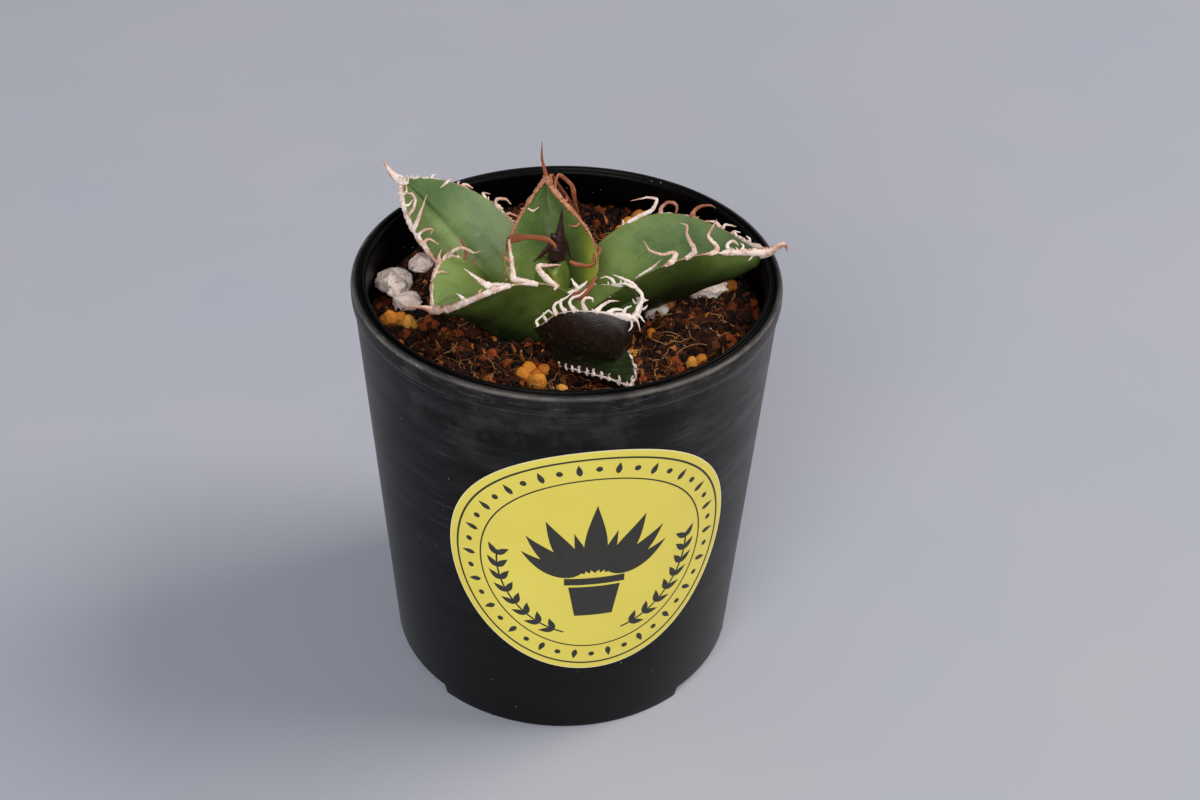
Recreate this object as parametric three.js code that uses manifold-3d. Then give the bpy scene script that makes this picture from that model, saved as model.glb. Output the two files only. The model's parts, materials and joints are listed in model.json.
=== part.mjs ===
// A young white-toothed agave in a black plastic nursery pot.
// The pot carries a round sticker and is filled with a gritty mix; a short crown stands in the mix
// and carries six open leaves and the closed centre leaf. Each leaf is a fleshy blade with its own
// pale horny margin, which holds the curled teeth and the end spine.
// Millimetres, +Z up, origin at the middle of the pot's foot. The front of the sticker looks to -Y.
import * as THREE from "three";
import { mergeVertices } from "three/addons/utils/BufferGeometryUtils.js";
import Module from "manifold-3d";

const wasm = await Module();
wasm.setup();

// ---------- driving dimensions ----------
const GAP = 0.3; // air left between neighbouring pieces
const FINEST = 0.06; // edges shorter than this, left by cuts, are closed up
const POT = {
  rimRadius: 45, // a "3-go" nursery pot, 90 mm across the rim
  height: 96.5,
  footRadius: 39.2,
  wall: 1.6,
  rimWidth: 3.3, // the flat lip, seen from above
  rimDrop: 4, // height of the bead outside
  beadProud: 0.5, // how far the bead stands out of the wall
  collarHeight: 8, // the thick collar under the lip, inside
  floorHeight: 2.8, // underside of the raised floor
  floor: 1.8,
  footWidth: 2.4, // width of the ring that the pot stands on
  segments: 56,
};
const NOTCH = { centres: [90, 210, 330], halfAngle: 18, height: 2.5 }; // gaps in the foot ring
const DRAIN = { radius: 4, ring: 22, count: 6 }; // drainage holes through the floor
const STICKER = { radius: 31.5, thick: 0.3, azimuth: -81, middle: 51.5, columns: 28 };
const SOIL = { level: 86, rough: 1.5, rings: 7, segments: 36, seed: 7 };
const CROWN = { x: -1, y: 0, z: 84, radius: 6.2, height: 3, depth: 12, sides: 12 };

// Blade outline and thickness, the same for every leaf
const BLADE = {
  alongSteps: 12,
  acrossSteps: 6,
  keelRound: 0.3, // how round the fold along the midrib is
  edgeThick: 0.9,
  endHalfWidth: 0.7, // the blade stops where it is this narrow
};
// The horny strip along each side: half its thickness near the crown and at the tip
const MARGIN = { near: 0.42, far: 0.75, sides: 4, steps: 12, start: 0.12 };
// The teeth: one shorter than small has a single bend
const TOOTH = { sides: 3, root: 0.62, sink: 0.4, tip: 0.13, small: 2.7 };

// One entry for each leaf, measured in the plant's own frame, whose origin is the crown.
// base is where the leaf leaves the crown and tail how far it reaches back into it; azimuth is its
// heading, and swing how far the heading turns by the tip; rise is its slope at the base, the middle
// and the tip; roll is its twist and fold how far its halves are folded up, both at the base and the
// tip; widest is where along it the blade is widest; waist is its half width at the base as a share
// of halfWidth; horn is where its horny margin starts and cut the half width at which the blade
// ends under the horn, if not the usual ones; flesh is its thickness along the midrib at the base,
// the middle and the tip; spine is its end spine, with its bends counted from the leaf's tip.
// Teeth are listed for the left and the right side, looking out from the crown. Each one is
// [where along the leaf, length, lean, curl, hook, lift]: it starts lean degrees towards the tip,
// turns by curl along its length and by hook at its end; lift 0 is level with the blade, 90 stands
// on its edge and more than 90 bends in over the blade.
const LEAVES = {
  spear: {
    base: [-2, -1.5, 1], tail: 1, azimuth: -88, length: 20.5, rise: [84, 92, 97], swing: 0,
    roll: [0, 0], halfWidth: 6.6, waist: 0.9, widest: 0.3, fold: [52, 56], flesh: [4, 5.4, 4.6],
    horn: 0.6, cut: 2.6,
    spine: { foot: 3.1, radius: 0.9, waist: 0.6, bend: [1.1, 1.2, 2.6], end: [2.2, 2.6, 6.2] },
    left: [], right: [],
  },
  back_centre: {
    base: [-1, 5, 1], tail: 2, azimuth: 95, length: 27.5, rise: [69, 59, 98], swing: 27,
    roll: [-12, -35], halfWidth: 12, waist: 0.6, widest: 0.3, fold: [32, 33], flesh: [5, 4.5, 2],
    spine: { radius: 0.95, waist: 0.6, bend: [-0.9, 0.2, 4], end: [-0.9, -0.6, 8.5] },
    left: [
      [0.28, 2, 10, 60, 40, 60], [0.4, 1.6, -30, 40, 0, 70], [0.6, 1.8, 20, 70, 0, 40],
      [0.68, 1.8, 30, -60, 0, 80], [0.78, 3, -20, -60, 60, 120], [0.88, 1.4, 20, 40, 0, 60],
    ],
    right: [
      [0.2, 3.2, 10, -60, 0, 60], [0.32, 2, 30, 60, 0, 70], [0.56, 1.8, 20, 70, 0, 40],
      [0.63, 3.6, 0, 20, 90, 130], [0.74, 1.6, -20, 60, 0, 50], [0.82, 1.8, 10, 80, 0, 70],
    ],
  },
  right: {
    base: [5, 0, 1], tail: 2, azimuth: 12, length: 41.5, rise: [41, 15, 32], swing: -16,
    roll: [-3, -9], halfWidth: 16, waist: 0.54, widest: 0.43, fold: [31, 48], flesh: [7, 5, 2],
    spine: { radius: 1.25, waist: 0.6, bend: [2.8, 0.5, 1.6], end: [3.9, 1.2, -0.6] },
    left: [
      [0.22, 4, -40, 90, 60, 20], [0.38, 9.5, 45, -20, -120, 10], [0.53, 5.2, 20, -110, -60, 10],
      [0.64, 5.4, 50, 50, 20, 15], [0.77, 4.2, -10, -90, 0, 20], [0.8, 4.6, 35, 60, 20, 20],
      [0.87, 2.6, -30, 120, 0, 30], [0.93, 2.2, 60, 10, 0, 20],
    ],
    right: [
      [0.33, 5.6, 72, 0, 0, 60], [0.52, 6.8, -55, -35, 45, 80], [0.61, 6.4, -35, 45, -80, 80],
      [0.72, 6.2, -45, 75, -20, 80], [0.81, 3, -45, 10, 0, 75], [0.85, 1.6, -10, 40, 0, 60],
      [0.89, 1.8, 20, -50, 0, 70], [0.93, 1.6, 10, 40, 0, 50],
    ],
  },
  front_left: {
    base: [-5, -3, 1], tail: 2, azimuth: 189, length: 26, rise: [35, 27, -40], swing: 14,
    roll: [48, 1], halfWidth: 15.4, waist: 0.73, widest: 0.62, fold: [29, 15],
    flesh: [6.5, 6.5, 2.2],
    spine: { radius: 1.2, waist: 0.5, bend: [-2, -0.2, 0.8], end: [-5.4, -0.4, 1] },
    left: [
      [0.14, 3.4, -40, -70, 0, 70], [0.34, 8, 42, 10, -125, 80], [0.5, 9.4, 30, -25, -5, 78],
      [0.56, 2.6, -20, -20, 0, 80], [0.64, 6.4, 35, 40, -20, 95], [0.7, 2.4, 10, 40, 0, 80],
      [0.79, 4.6, -20, 70, 40, 95], [0.86, 1.8, 20, -40, 0, 70], [0.92, 1.4, 20, 0, 0, 60],
    ],
    right: [
      [0.45, 2.4, -20, 60, 0, 60], [0.55, 3.4, 10, 30, 0, 60], [0.63, 3.6, 20, -60, 0, 40],
      [0.7, 7, -30, -50, 40, 75], [0.75, 3.4, 20, -80, -60, 30], [0.8, 4.6, -30, -60, 20, 110],
      [0.86, 1.8, 20, 40, 0, 60], [0.9, 1.5, -20, 40, 0, 50], [0.94, 1.6, 10, -40, 0, 60],
    ],
  },
  back_left: {
    base: [-5, 4, 0], tail: 2, azimuth: 158, length: 44.5, rise: [17, 32, -5], swing: -31,
    roll: [-13, -18], halfWidth: 11.2, waist: 0.65, widest: 0.45, fold: [27, 25],
    flesh: [6, 6, 2.2],
    spine: { radius: 1.4, waist: 0.6, bend: [-1.8, 0.8, 1.2], end: [-3.6, 1.6, 4] },
    left: [
      [0.38, 3, 10, 60, 60, 60], [0.48, 3.6, -20, -60, 0, 100], [0.55, 4.6, -40, -60, 30, 110],
      [0.6, 5, 10, -80, 60, 100], [0.7, 8, -45, 15, -10, 105], [0.76, 3, 20, -90, -90, 80],
      [0.8, 3.4, -10, -100, -60, 90], [0.85, 4.4, -10, -90, -90, 100], [0.89, 2.6, 10, -60, 0, 90],
      [0.93, 2.2, -10, -60, 0, 110], [0.97, 1.4, 0, -30, 0, 80],
    ],
    right: [
      [0.35, 2.6, 20, 40, 0, 60], [0.44, 4.2, -20, -70, 20, 30], [0.52, 4.4, 10, -90, -30, 20],
      [0.6, 3.4, 20, -110, -60, 30], [0.69, 3.4, 30, -110, -20, 25], [0.77, 3.6, 10, 60, 0, 120],
      [0.84, 1.5, 20, 30, 0, 40], [0.89, 1.6, -10, 30, 0, 30], [0.94, 1.4, 20, -30, 0, 40],
    ],
  },
  front_dark: {
    base: [1, -6, 0], tail: 2, azimuth: -34, length: 22, rise: [20, 41, 32], swing: -15,
    roll: [9, -24], halfWidth: 12, waist: 0.87, widest: 0.45, fold: [47, 20],
    flesh: [8, 7.5, 2.4],
    spine: { radius: 0.9, waist: 0.6, bend: [0.9, -0.6, -0.2], end: [1.5, -1.3, -2] },
    left: [
      [0.3, 3, -20, 50, 0, 90], [0.4, 2, 20, -60, 0, 70], [0.48, 2.4, 10, 70, 0, 80],
      [0.55, 2, -20, 60, 0, 90], [0.62, 2.4, 20, -70, 0, 70], [0.69, 2, -10, 80, 0, 80],
      [0.76, 2.6, 20, -60, 30, 60], [0.83, 2, -20, 60, 0, 80], [0.9, 2.2, 10, 50, 0, 50],
    ],
    right: [
      [0.16, 3, 10, -80, 0, 80], [0.28, 2.4, -10, 80, 0, 80], [0.4, 2.8, -20, 90, 40, 75],
      [0.5, 3, 10, -60, 0, 80], [0.57, 5.6, -10, 70, 20, 80], [0.64, 3.4, -20, 40, 0, 75],
      [0.7, 6, -50, 90, 20, 80], [0.77, 3.2, -10, 60, 0, 80], [0.83, 5, 10, 40, 50, 75],
      [0.9, 2.2, 50, 0, 0, 70], [0.95, 1.8, 20, -60, 0, 60],
    ],
  },
  front_low: {
    base: [4, -10, 0.5], tail: 7, azimuth: -67, length: 21.5, rise: [3, 8, 22], swing: 11,
    roll: [3, -30], halfWidth: 8.4, waist: 0.76, widest: 0.36, fold: [1, 11], flesh: [2.6, 2.4, 1.3],
    spine: { radius: 0.65, waist: 0.6, bend: [0.2, -0.8, 0.2], end: [0.5, -1.6, 0.6] },
    left: [
      [0.3, 1.4, 0, 60, 0, 60], [0.4, 2, 10, -50, 0, 115], [0.48, 1.8, -20, 60, 0, 120],
      [0.56, 2.2, 10, -60, 0, 115], [0.63, 1.8, -10, 60, 0, 120], [0.7, 2, 20, -50, 0, 110],
      [0.78, 1.8, -20, 50, 0, 120], [0.86, 1.6, 10, -40, 0, 110], [0.93, 1.3, 0, 30, 0, 90],
    ],
    right: [
      [0.3, 1.2, 0, 40, 0, 70], [0.42, 1.5, -10, 50, 0, 75], [0.5, 1.3, 10, -60, 0, 80],
      [0.57, 1.8, -10, 60, 0, 80], [0.64, 1.5, 20, -40, 0, 75], [0.7, 1.9, -20, 60, 0, 80],
      [0.76, 1.5, 10, -50, 0, 80], [0.82, 1.9, -10, 60, 0, 75], [0.89, 2, 20, -60, 0, 80],
      [0.95, 1.2, 0, 30, 0, 70],
    ],
  },
};
// Long dry strands of margin. Each one leaves a leaf's left (1) or right (-1) side at a place along
// it, and runs through points of the plant's frame: the brown arch in front of the centre, the one
// that droops at its right, and the one that has peeled off behind the back leaf.
const STRANDS = [
  {
    leaf: "back_centre", side: 1, at: 0.5, thick: 0.62,
    path: [[-11, 2, 18.4], [-8, -1, 20.8], [-4.6, -3, 21.9], [-2.3, -4, 21.6], [-1.2, -4.6, 20.4]],
  },
  {
    leaf: "back_centre", side: -1, at: 0.46, thick: 0.5,
    path: [[6.5, 5, 14.2], [6.2, 1.5, 12.8], [3.4, -0.8, 14.2], [1.3, -1.4, 15.4]],
  },
  {
    leaf: "back_centre", side: -1, at: 0.93, thick: 0.42,
    path: [[-1.4, 16.6, 26], [0.8, 17.8, 22.8], [2.2, 18, 19.4], [4.4, 16.8, 15.4], [6.6, 15.4, 12.8]],
  },
];

// White stones lying in the mix: [x, y, height of the middle above it, half sizes, turn]
const PUMICE = [
  [-37.2, 7, 1.3, 3.4, 3.0, 2.6, 60],
  [-34.2, 0.5, 0.9, 3.0, 2.2, 1.9, -20],
  [-32, 15.5, 1.0, 2.6, 2.0, 1.8, 40],
  [30, 9, 1.1, 3.6, 2.4, 2.2, -12],
  [19, 2.6, 0.7, 2.2, 2.4, 1.7, 30],
];
// Clusters of yellow-brown grit: [x, y, number of grains, grain radius]
const GRIT = [
  [-6, -21.5, 5, 1.7],
  [-35.2, -5, 3, 1.8],
  [14, 32, 3, 2.2],
  [34, 11.5, 3, 1.6],
  [26, -16.5, 2, 1.6],
];

const COLOUR = {
  pot: 0x25262a, sticker: 0xd8c64e, soil: 0x3a2115, crown: 0x6f7a45, leaf: 0x557f3a,
  darkLeaf: 0x35302a, horn: 0xd9c6b6, darkHorn: 0x3d1520, pumice: 0xd6cac4, grit: 0xc88732,
};

// ---------- helpers ----------
const rad = THREE.MathUtils.degToRad;
const lerp = THREE.MathUtils.lerp;
const material = (color, roughness) =>
  new THREE.MeshStandardMaterial({ color, roughness, metalness: 0 });

// Seeded random numbers in 0..1
function randomOf(seed) {
  let s = seed >>> 0;
  return () => {
    s = (s * 1664525 + 1013904223) >>> 0;
    return s / 4294967296;
  };
}

// A closed three.js geometry as a solid
function solidOf(geometry) {
  const g = geometry.index ? geometry.toNonIndexed() : geometry.clone();
  const bare = new THREE.BufferGeometry().setAttribute("position", g.getAttribute("position"));
  const merged = mergeVertices(bare, 1e-4);
  return new wasm.Manifold(
    new wasm.Mesh({
      numProp: 3,
      vertProperties: merged.attributes.position.array,
      triVerts: new Uint32Array(merged.index.array),
    }),
  );
}

// A solid as a geometry with flat faces
function geometryOf(solid) {
  const m = solid.getMesh();
  const flat = new Float32Array(m.numVert * 3);
  for (let i = 0; i < m.numVert; i++) {
    flat.set(m.vertProperties.subarray(i * m.numProp, i * m.numProp + 3), i * 3);
  }
  const g = new THREE.BufferGeometry()
    .setAttribute("position", new THREE.BufferAttribute(flat, 3))
    .setIndex(new THREE.BufferAttribute(m.triVerts, 1));
  g.computeVertexNormals();
  return g;
}

// The largest body of a solid, without the loose scraps that a cut leaves
const largest = (solid) =>
  solid.decompose().reduce((a, b) => (b.volume() > a.volume() ? b : a));

const union = (solids) => solids.reduce((a, b) => a.add(b));

// A mesh from rings of points, each ring closed, with the ends capped by strips across the ring
function ringsToSolid(rings, capStart, capEnd) {
  const n = rings[0].length;
  const flat = rings.flat().flatMap((p) => [p.x, p.y, p.z]);
  const faces = [];
  for (let r = 0; r + 1 < rings.length; r++) {
    for (let i = 0; i < n; i++) {
      const a = r * n + i;
      const b = r * n + ((i + 1) % n);
      faces.push(a, b, b + n, a, b + n, a + n);
    }
  }
  const cap = (ring, order) => {
    const at = ring * n;
    for (const [i, j, k] of order) faces.push(at + i, at + j, at + k);
  };
  cap(0, capStart);
  cap(rings.length - 1, capEnd);
  return solidOf(
    new THREE.BufferGeometry()
      .setAttribute("position", new THREE.Float32BufferAttribute(flat, 3))
      .setIndex(faces),
  );
}

// Caps of a ring as a fan
const fanBack = (n) => Array.from({ length: n - 2 }, (_, i) => [0, i + 2, i + 1]);
const fanFront = (n) => Array.from({ length: n - 2 }, (_, i) => [0, i + 1, i + 2]);

// A tapering tube through points, with few sides
function tube(points, radii, sides) {
  let side = new THREE.Vector3(0.31, 0.17, 0.93);
  const rings = points.map((p, i) => {
    const ahead = points[Math.min(i + 1, points.length - 1)];
    const behind = points[Math.max(i - 1, 0)];
    const t = ahead.clone().sub(behind).normalize();
    side = side.clone().addScaledVector(t, -side.dot(t)).normalize();
    const up = new THREE.Vector3().crossVectors(t, side);
    return Array.from({ length: sides }, (_, k) => {
      const a = (2 * Math.PI * k) / sides;
      return p
        .clone()
        .addScaledVector(side, radii[i] * Math.cos(a))
        .addScaledVector(up, radii[i] * Math.sin(a));
    });
  });
  return ringsToSolid(rings, fanBack(sides), fanFront(sides));
}

// ---------- pot ----------
const wallSlope = (POT.rimRadius - POT.beadProud - POT.footRadius) / (POT.height - POT.rimDrop);
const wallRadius = (z) => POT.footRadius + wallSlope * z; // outside of the wall
const innerRadius = (z) => wallRadius(z) - POT.wall; // inside, below the collar

function latheSolid(profile) {
  const points = profile.map(([r, z]) => new THREE.Vector2(r, z));
  const g = new THREE.LatheGeometry(points, POT.segments);
  g.rotateX(Math.PI / 2);
  return solidOf(g);
}

function potSolid() {
  const { rimRadius, height, rimDrop, rimWidth, collarHeight, floorHeight, floor } = POT;
  const lip = rimRadius - rimWidth;
  const groove = rimRadius - rimWidth * 0.6;
  const top = floorHeight + floor;
  const collarFoot = height - collarHeight;
  const inFoot = POT.footRadius - POT.footWidth;
  let pot = latheSolid([
    [0, floorHeight],
    [inFoot, floorHeight],
    [inFoot, 0],
    [POT.footRadius, 0],
    [wallRadius(height - rimDrop - 0.5), height - rimDrop - 0.5],
    [rimRadius, height - rimDrop],
    [rimRadius, height - 0.5],
    [rimRadius - 0.5, height],
    [groove + 0.4, height],
    [groove, height - 0.7],
    [groove - 0.4, height - 0.1],
    [lip, height - 0.4],
    [lip + 0.2, collarFoot + 0.8],
    [innerRadius(collarFoot), collarFoot],
    [innerRadius(top), top],
    [0, top],
  ]);
  for (const centre of NOTCH.centres) pot = pot.subtract(notchCutter(centre));
  for (let i = 0; i < DRAIN.count; i++) {
    const a = (2 * Math.PI * i) / DRAIN.count;
    const hole = new THREE.CylinderGeometry(DRAIN.radius, DRAIN.radius, 4 * top, 12);
    hole.rotateX(Math.PI / 2);
    hole.translate(DRAIN.ring * Math.cos(a), DRAIN.ring * Math.sin(a), 0);
    pot = pot.subtract(solidOf(hole));
  }
  return pot;
}

// A wedge that opens the foot ring towards one side
function notchCutter(centre) {
  const reach = POT.footRadius + 3;
  const inside = POT.footRadius - POT.footWidth - 2;
  const shape = new THREE.Shape();
  shape.absarc(0, 0, reach, rad(centre - NOTCH.halfAngle), rad(centre + NOTCH.halfAngle), false);
  shape.absarc(0, 0, inside, rad(centre + NOTCH.halfAngle), rad(centre - NOTCH.halfAngle), true);
  const g = new THREE.ExtrudeGeometry(shape, {
    depth: NOTCH.height + 1, bevelEnabled: false, curveSegments: 8,
  });
  g.translate(0, 0, -1);
  return solidOf(g);
}

// ---------- sticker ----------
// A thin round skin that follows the wall, built around azimuth 0 and turned into place
function stickerSolid() {
  const { radius, thick, middle, columns } = STICKER;
  const rings = [];
  for (let i = 0; i <= columns; i++) {
    const angle = (Math.PI * i) / columns;
    const across = -radius * Math.cos(angle) * 0.9999;
    const half = Math.max(radius * Math.sin(angle), 0.25);
    const turn = across / (wallRadius(middle) + GAP);
    const at = (z, out) => {
      const r = wallRadius(z) + GAP + out;
      return new THREE.Vector3(r * Math.cos(turn), r * Math.sin(turn), z);
    };
    rings.push([
      at(middle - half, 0), at(middle + half, 0), at(middle + half, thick), at(middle - half, thick),
    ]);
  }
  return ringsToSolid(rings, fanBack(4), fanFront(4));
}

// ---------- leaves ----------
const quadratic = ([a, b, c], t) =>
  a * (1 - t) * (1 - 2 * t) + b * 4 * t * (1 - t) + c * t * (2 * t - 1);

function heading(leaf, t) {
  const e = rad(quadratic(leaf.rise, t));
  const a = rad(leaf.azimuth + leaf.swing * t);
  return new THREE.Vector3(
    Math.cos(a) * Math.cos(e), Math.sin(a) * Math.cos(e), Math.sin(e),
  );
}

// Where the midrib is at t, with the directions along it, to its left and out of its upper face
function ribFrame(leaf, t) {
  const steps = 40;
  const at = new THREE.Vector3(...leaf.base);
  for (let i = 0; i < steps; i++) {
    at.addScaledVector(heading(leaf, (t * (i + 0.5)) / steps), (leaf.length * t) / steps);
  }
  const along = heading(leaf, t);
  const a = rad(leaf.azimuth + leaf.swing * t);
  const left0 = new THREE.Vector3(-Math.sin(a), Math.cos(a), 0);
  const up0 = new THREE.Vector3().crossVectors(along, left0);
  const roll = rad(lerp(leaf.roll[0], leaf.roll[1], t));
  const left = left0.clone().multiplyScalar(Math.cos(roll)).addScaledVector(up0, Math.sin(roll));
  const up = up0.clone().multiplyScalar(Math.cos(roll)).addScaledVector(left0, -Math.sin(roll));
  return { at, along, left, up };
}

function halfWidth(leaf, t) {
  const { waist, widest } = leaf;
  const quarter = Math.PI / 2;
  const share = t < widest
    ? waist + (1 - waist) * Math.sin(quarter * (t / widest))
    : Math.cos(quarter * ((t - widest) / (1 - widest)));
  return leaf.halfWidth * share;
}

// A point of the upper face: u runs from -1 on the right margin to 1 on the left one
function facePoint(leaf, frame, t, u, width) {
  const fold = rad(lerp(leaf.fold[0], leaf.fold[1], t));
  const k = BLADE.keelRound;
  const lift = (Math.hypot(u, k) - k) / (Math.hypot(1, k) - k);
  return frame.at
    .clone()
    .addScaledVector(frame.left, width * u * Math.cos(fold))
    .addScaledVector(frame.up, width * lift * Math.sin(fold));
}

const marginHalf = (t) => lerp(MARGIN.near, MARGIN.far, Math.max(t, 0));

// How far along the leaf its blade reaches, short of the horny tip
function bladeEnd(leaf) {
  let t = 1;
  const narrow = leaf.cut ?? BLADE.endHalfWidth;
  while (halfWidth(leaf, t) - 2 * marginHalf(t) - 1.9 * GAP < narrow) t -= 0.005;
  return t;
}

// The fleshy blade, swollen on all sides by grow where it serves to cut its neighbours clear
function bladeSolid(leaf, grow, alongSteps, acrossSteps) {
  const start = -(leaf.tail + grow) / leaf.length;
  const end = bladeEnd(leaf) + grow / leaf.length;
  const rings = [];
  for (let i = 0; i <= alongSteps; i++) {
    const t = lerp(start, end, i / alongSteps);
    const frame = ribFrame(leaf, t);
    const width = Math.max(halfWidth(leaf, t) - 2 * marginHalf(t) - 1.9 * GAP, 0.5) + grow;
    const flesh = quadratic(leaf.flesh, Math.max(t, 0));
    const upper = [];
    const lower = [];
    for (let j = 0; j <= acrossSteps; j++) {
      const u = 1 - (2 * j) / acrossSteps;
      const thick = BLADE.edgeThick + (flesh - BLADE.edgeThick) * Math.pow(1 - u * u, 0.8);
      const p = facePoint(leaf, frame, t, u, width).addScaledVector(frame.up, grow);
      upper.push(p);
      lower.unshift(p.clone().addScaledVector(frame.up, -thick - 2 * grow));
    }
    rings.push([...upper, ...lower]);
  }
  const n = 2 * (acrossSteps + 1);
  const strip = [];
  for (let j = 0; j < acrossSteps; j++) {
    strip.push([j, n - 2 - j, n - 1 - j], [j, j + 1, n - 2 - j]);
  }
  return ringsToSolid(rings, strip.map(([a, b, c]) => [a, c, b]), strip);
}

// A point on the line of the horny strip, with the outward direction there.
// side is 1 for the left margin and -1 for the right one.
function marginPoint(leaf, t, side) {
  const frame = ribFrame(leaf, t);
  const width = Math.max(halfWidth(leaf, t) - marginHalf(t), 0.05);
  const at = facePoint(leaf, frame, t, side, width);
  const out = at.clone().sub(facePoint(leaf, frame, t, side * 0.8, width)).normalize();
  const middle = BLADE.edgeThick / 2; // halfway down the edge, square to the leaf's half
  at.addScaledVector(frame.up, -middle).addScaledVector(out, middle * out.dot(frame.up));
  return { at, out, along: frame.along, up: frame.up };
}

// One curled tooth, its root sunk into the strip
function toothSolid(leaf, side, [t, length, lean, curl, hook, lift], grow) {
  const { at, out, along, up } = marginPoint(leaf, t, side);
  const away = out.clone()
    .multiplyScalar(Math.cos(rad(lift)))
    .addScaledVector(up, Math.sin(rad(lift)));
  const small = length < TOOTH.small;
  const turns = small ? [0, curl] : [0, curl / 2, curl, curl + hook];
  const shares = small ? [0.55, 0.45] : [0.32, 0.24, 0.24, 0.2];
  const points = [at.clone().addScaledVector(away, -TOOTH.sink)];
  turns.forEach((turn, i) => {
    const angle = rad(lean + turn);
    const step = length * shares[i];
    points.push(
      points.at(-1).clone()
        .addScaledVector(away, step * Math.cos(angle)).addScaledVector(along, step * Math.sin(angle)),
    );
  });
  const root = TOOTH.root * Math.min(1, 0.7 + 0.06 * length);
  const radii = (small ? [1, 0.75] : [1, 0.95, 0.7, 0.5]).map((f) => root * f + grow);
  return tube(points, [...radii, TOOTH.tip + grow], TOOTH.sides);
}

function strandSolid({ leaf, side, at, thick, path }, grow) {
  const root = marginPoint(LEAVES[leaf], at, side).at;
  const points = [root, ...path.map((p) => new THREE.Vector3(...p))];
  const radii = points.map((_, i) => lerp(thick, thick * 0.45, i / (points.length - 1)) + grow);
  return tube(points, radii, 4);
}

// The horny margin of a leaf: a strip up each side, the end spine and the teeth, fused
function marginSolid(name, grow) {
  const leaf = LEAVES[name];
  const pieces = [];
  const curled = []; // what bends in over the blade, and is cut clear of it
  for (const side of [1, -1]) {
    const points = [];
    const radii = [];
    for (let i = 0; i <= MARGIN.steps; i++) {
      const t = lerp(leaf.horn ?? MARGIN.start, 1, i / MARGIN.steps);
      points.push(marginPoint(leaf, t, side).at);
      radii.push(marginHalf(t) * (1 - 0.12 * (i % 2)) + grow);
    }
    pieces.push(tube(points, radii, MARGIN.sides));
    for (const tooth of side === 1 ? leaf.left : leaf.right) {
      const inward = tooth[5] > 90;
      (inward ? curled : pieces).push(toothSolid(leaf, side, tooth, grow));
    }
  }
  for (const strand of STRANDS) {
    if (strand.leaf === name) curled.push(strandSolid(strand, grow));
  }
  if (curled.length) {
    const blade = bladeSolid(leaf, GAP / 2, BLADE.alongSteps, BLADE.acrossSteps);
    pieces.push(union(curled).subtract(blade));
  }
  const { radius, waist, bend, end } = leaf.spine;
  const foot = ribFrame(leaf, bladeEnd(leaf) + (GAP + 0.2) / leaf.length);
  const tip = ribFrame(leaf, 1);
  for (const frame of [foot, tip]) frame.at.addScaledVector(frame.up, -BLADE.edgeThick / 2);
  const path = [
    foot.at, foot.at.clone().lerp(tip.at, 0.5), tip.at,
    tip.at.clone().add(new THREE.Vector3(...bend)), tip.at.clone().add(new THREE.Vector3(...end)),
  ];
  const base = leaf.spine.foot ?? radius * 0.7;
  const radii = [base, lerp(base, radius, 0.7), radius, radius * waist, 0.14];
  pieces.push(tube(path, radii.map((r) => r + grow), 6));
  return union(pieces);
}

// ---------- soil, stones and crown ----------
// Height of the mix: level, with a hollow around the plant that is deepest in front, a rise at the
// back, and some unevenness
function soilHeight(x, y) {
  const hollow = 4 * Math.exp(-((x - 8) ** 2 + (y + 15) ** 2) / 400);
  const back = (2.6 * Math.max(0, y - 20)) / 22;
  const swell = 0.45 * Math.sin(x * 0.55 + 1) * Math.cos(y * 0.48);
  const ripple = 0.3 * Math.sin(x * 1.3 - y * 0.9);
  return SOIL.level - hollow + back + swell + ripple;
}

function soilSolid() {
  const random = randomOf(SOIL.seed);
  const { rings, segments } = SOIL;
  const bottom = POT.floorHeight + POT.floor + GAP;
  const outer = POT.rimRadius - POT.rimWidth - GAP;
  const low = innerRadius(bottom) - 2 * GAP;
  const points = [];
  const ring = (i, place) => {
    for (let j = 0; j < segments; j++) {
      const a = (2 * Math.PI * (j + (i % 2) * 0.5)) / segments;
      points.push(place(Math.cos(a), Math.sin(a)));
    }
  };
  for (let i = 0; i <= rings; i++) {
    const edge = i === rings;
    ring(i, (c, s) => {
      const r = i === 0 ? 2 : outer * (i / rings) * (edge ? 1 : 1 + 0.05 * (random() - 0.5));
      const rough = edge ? 0 : SOIL.rough * (random() - 0.5);
      return [r * c, r * s, soilHeight(r * c, r * s) + rough];
    });
  }
  ring(rings, (c, s) => [low * c, low * s, bottom]);
  const topMiddle = points.push([0, 0, soilHeight(0, 0)]) - 1;
  const lowMiddle = points.push([0, 0, bottom]) - 1;
  const faces = [];
  for (let j = 0; j < segments; j++) {
    const k = (j + 1) % segments;
    const edge = rings * segments;
    const under = edge + segments;
    faces.push(topMiddle, j, k, lowMiddle, under + k, under + j);
    for (let i = 0; i < rings; i++) {
      const a = i * segments;
      const b = a + segments;
      if (i % 2 === 0) faces.push(a + j, b + j, a + k, a + k, b + j, b + k);
      else faces.push(a + j, b + j, b + k, a + j, b + k, a + k);
    }
    faces.push(edge + j, under + j, under + k, edge + j, under + k, edge + k);
  }
  return solidOf(
    new THREE.BufferGeometry()
      .setAttribute("position", new THREE.Float32BufferAttribute(points.flat(), 3))
      .setIndex(faces),
  );
}

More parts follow.
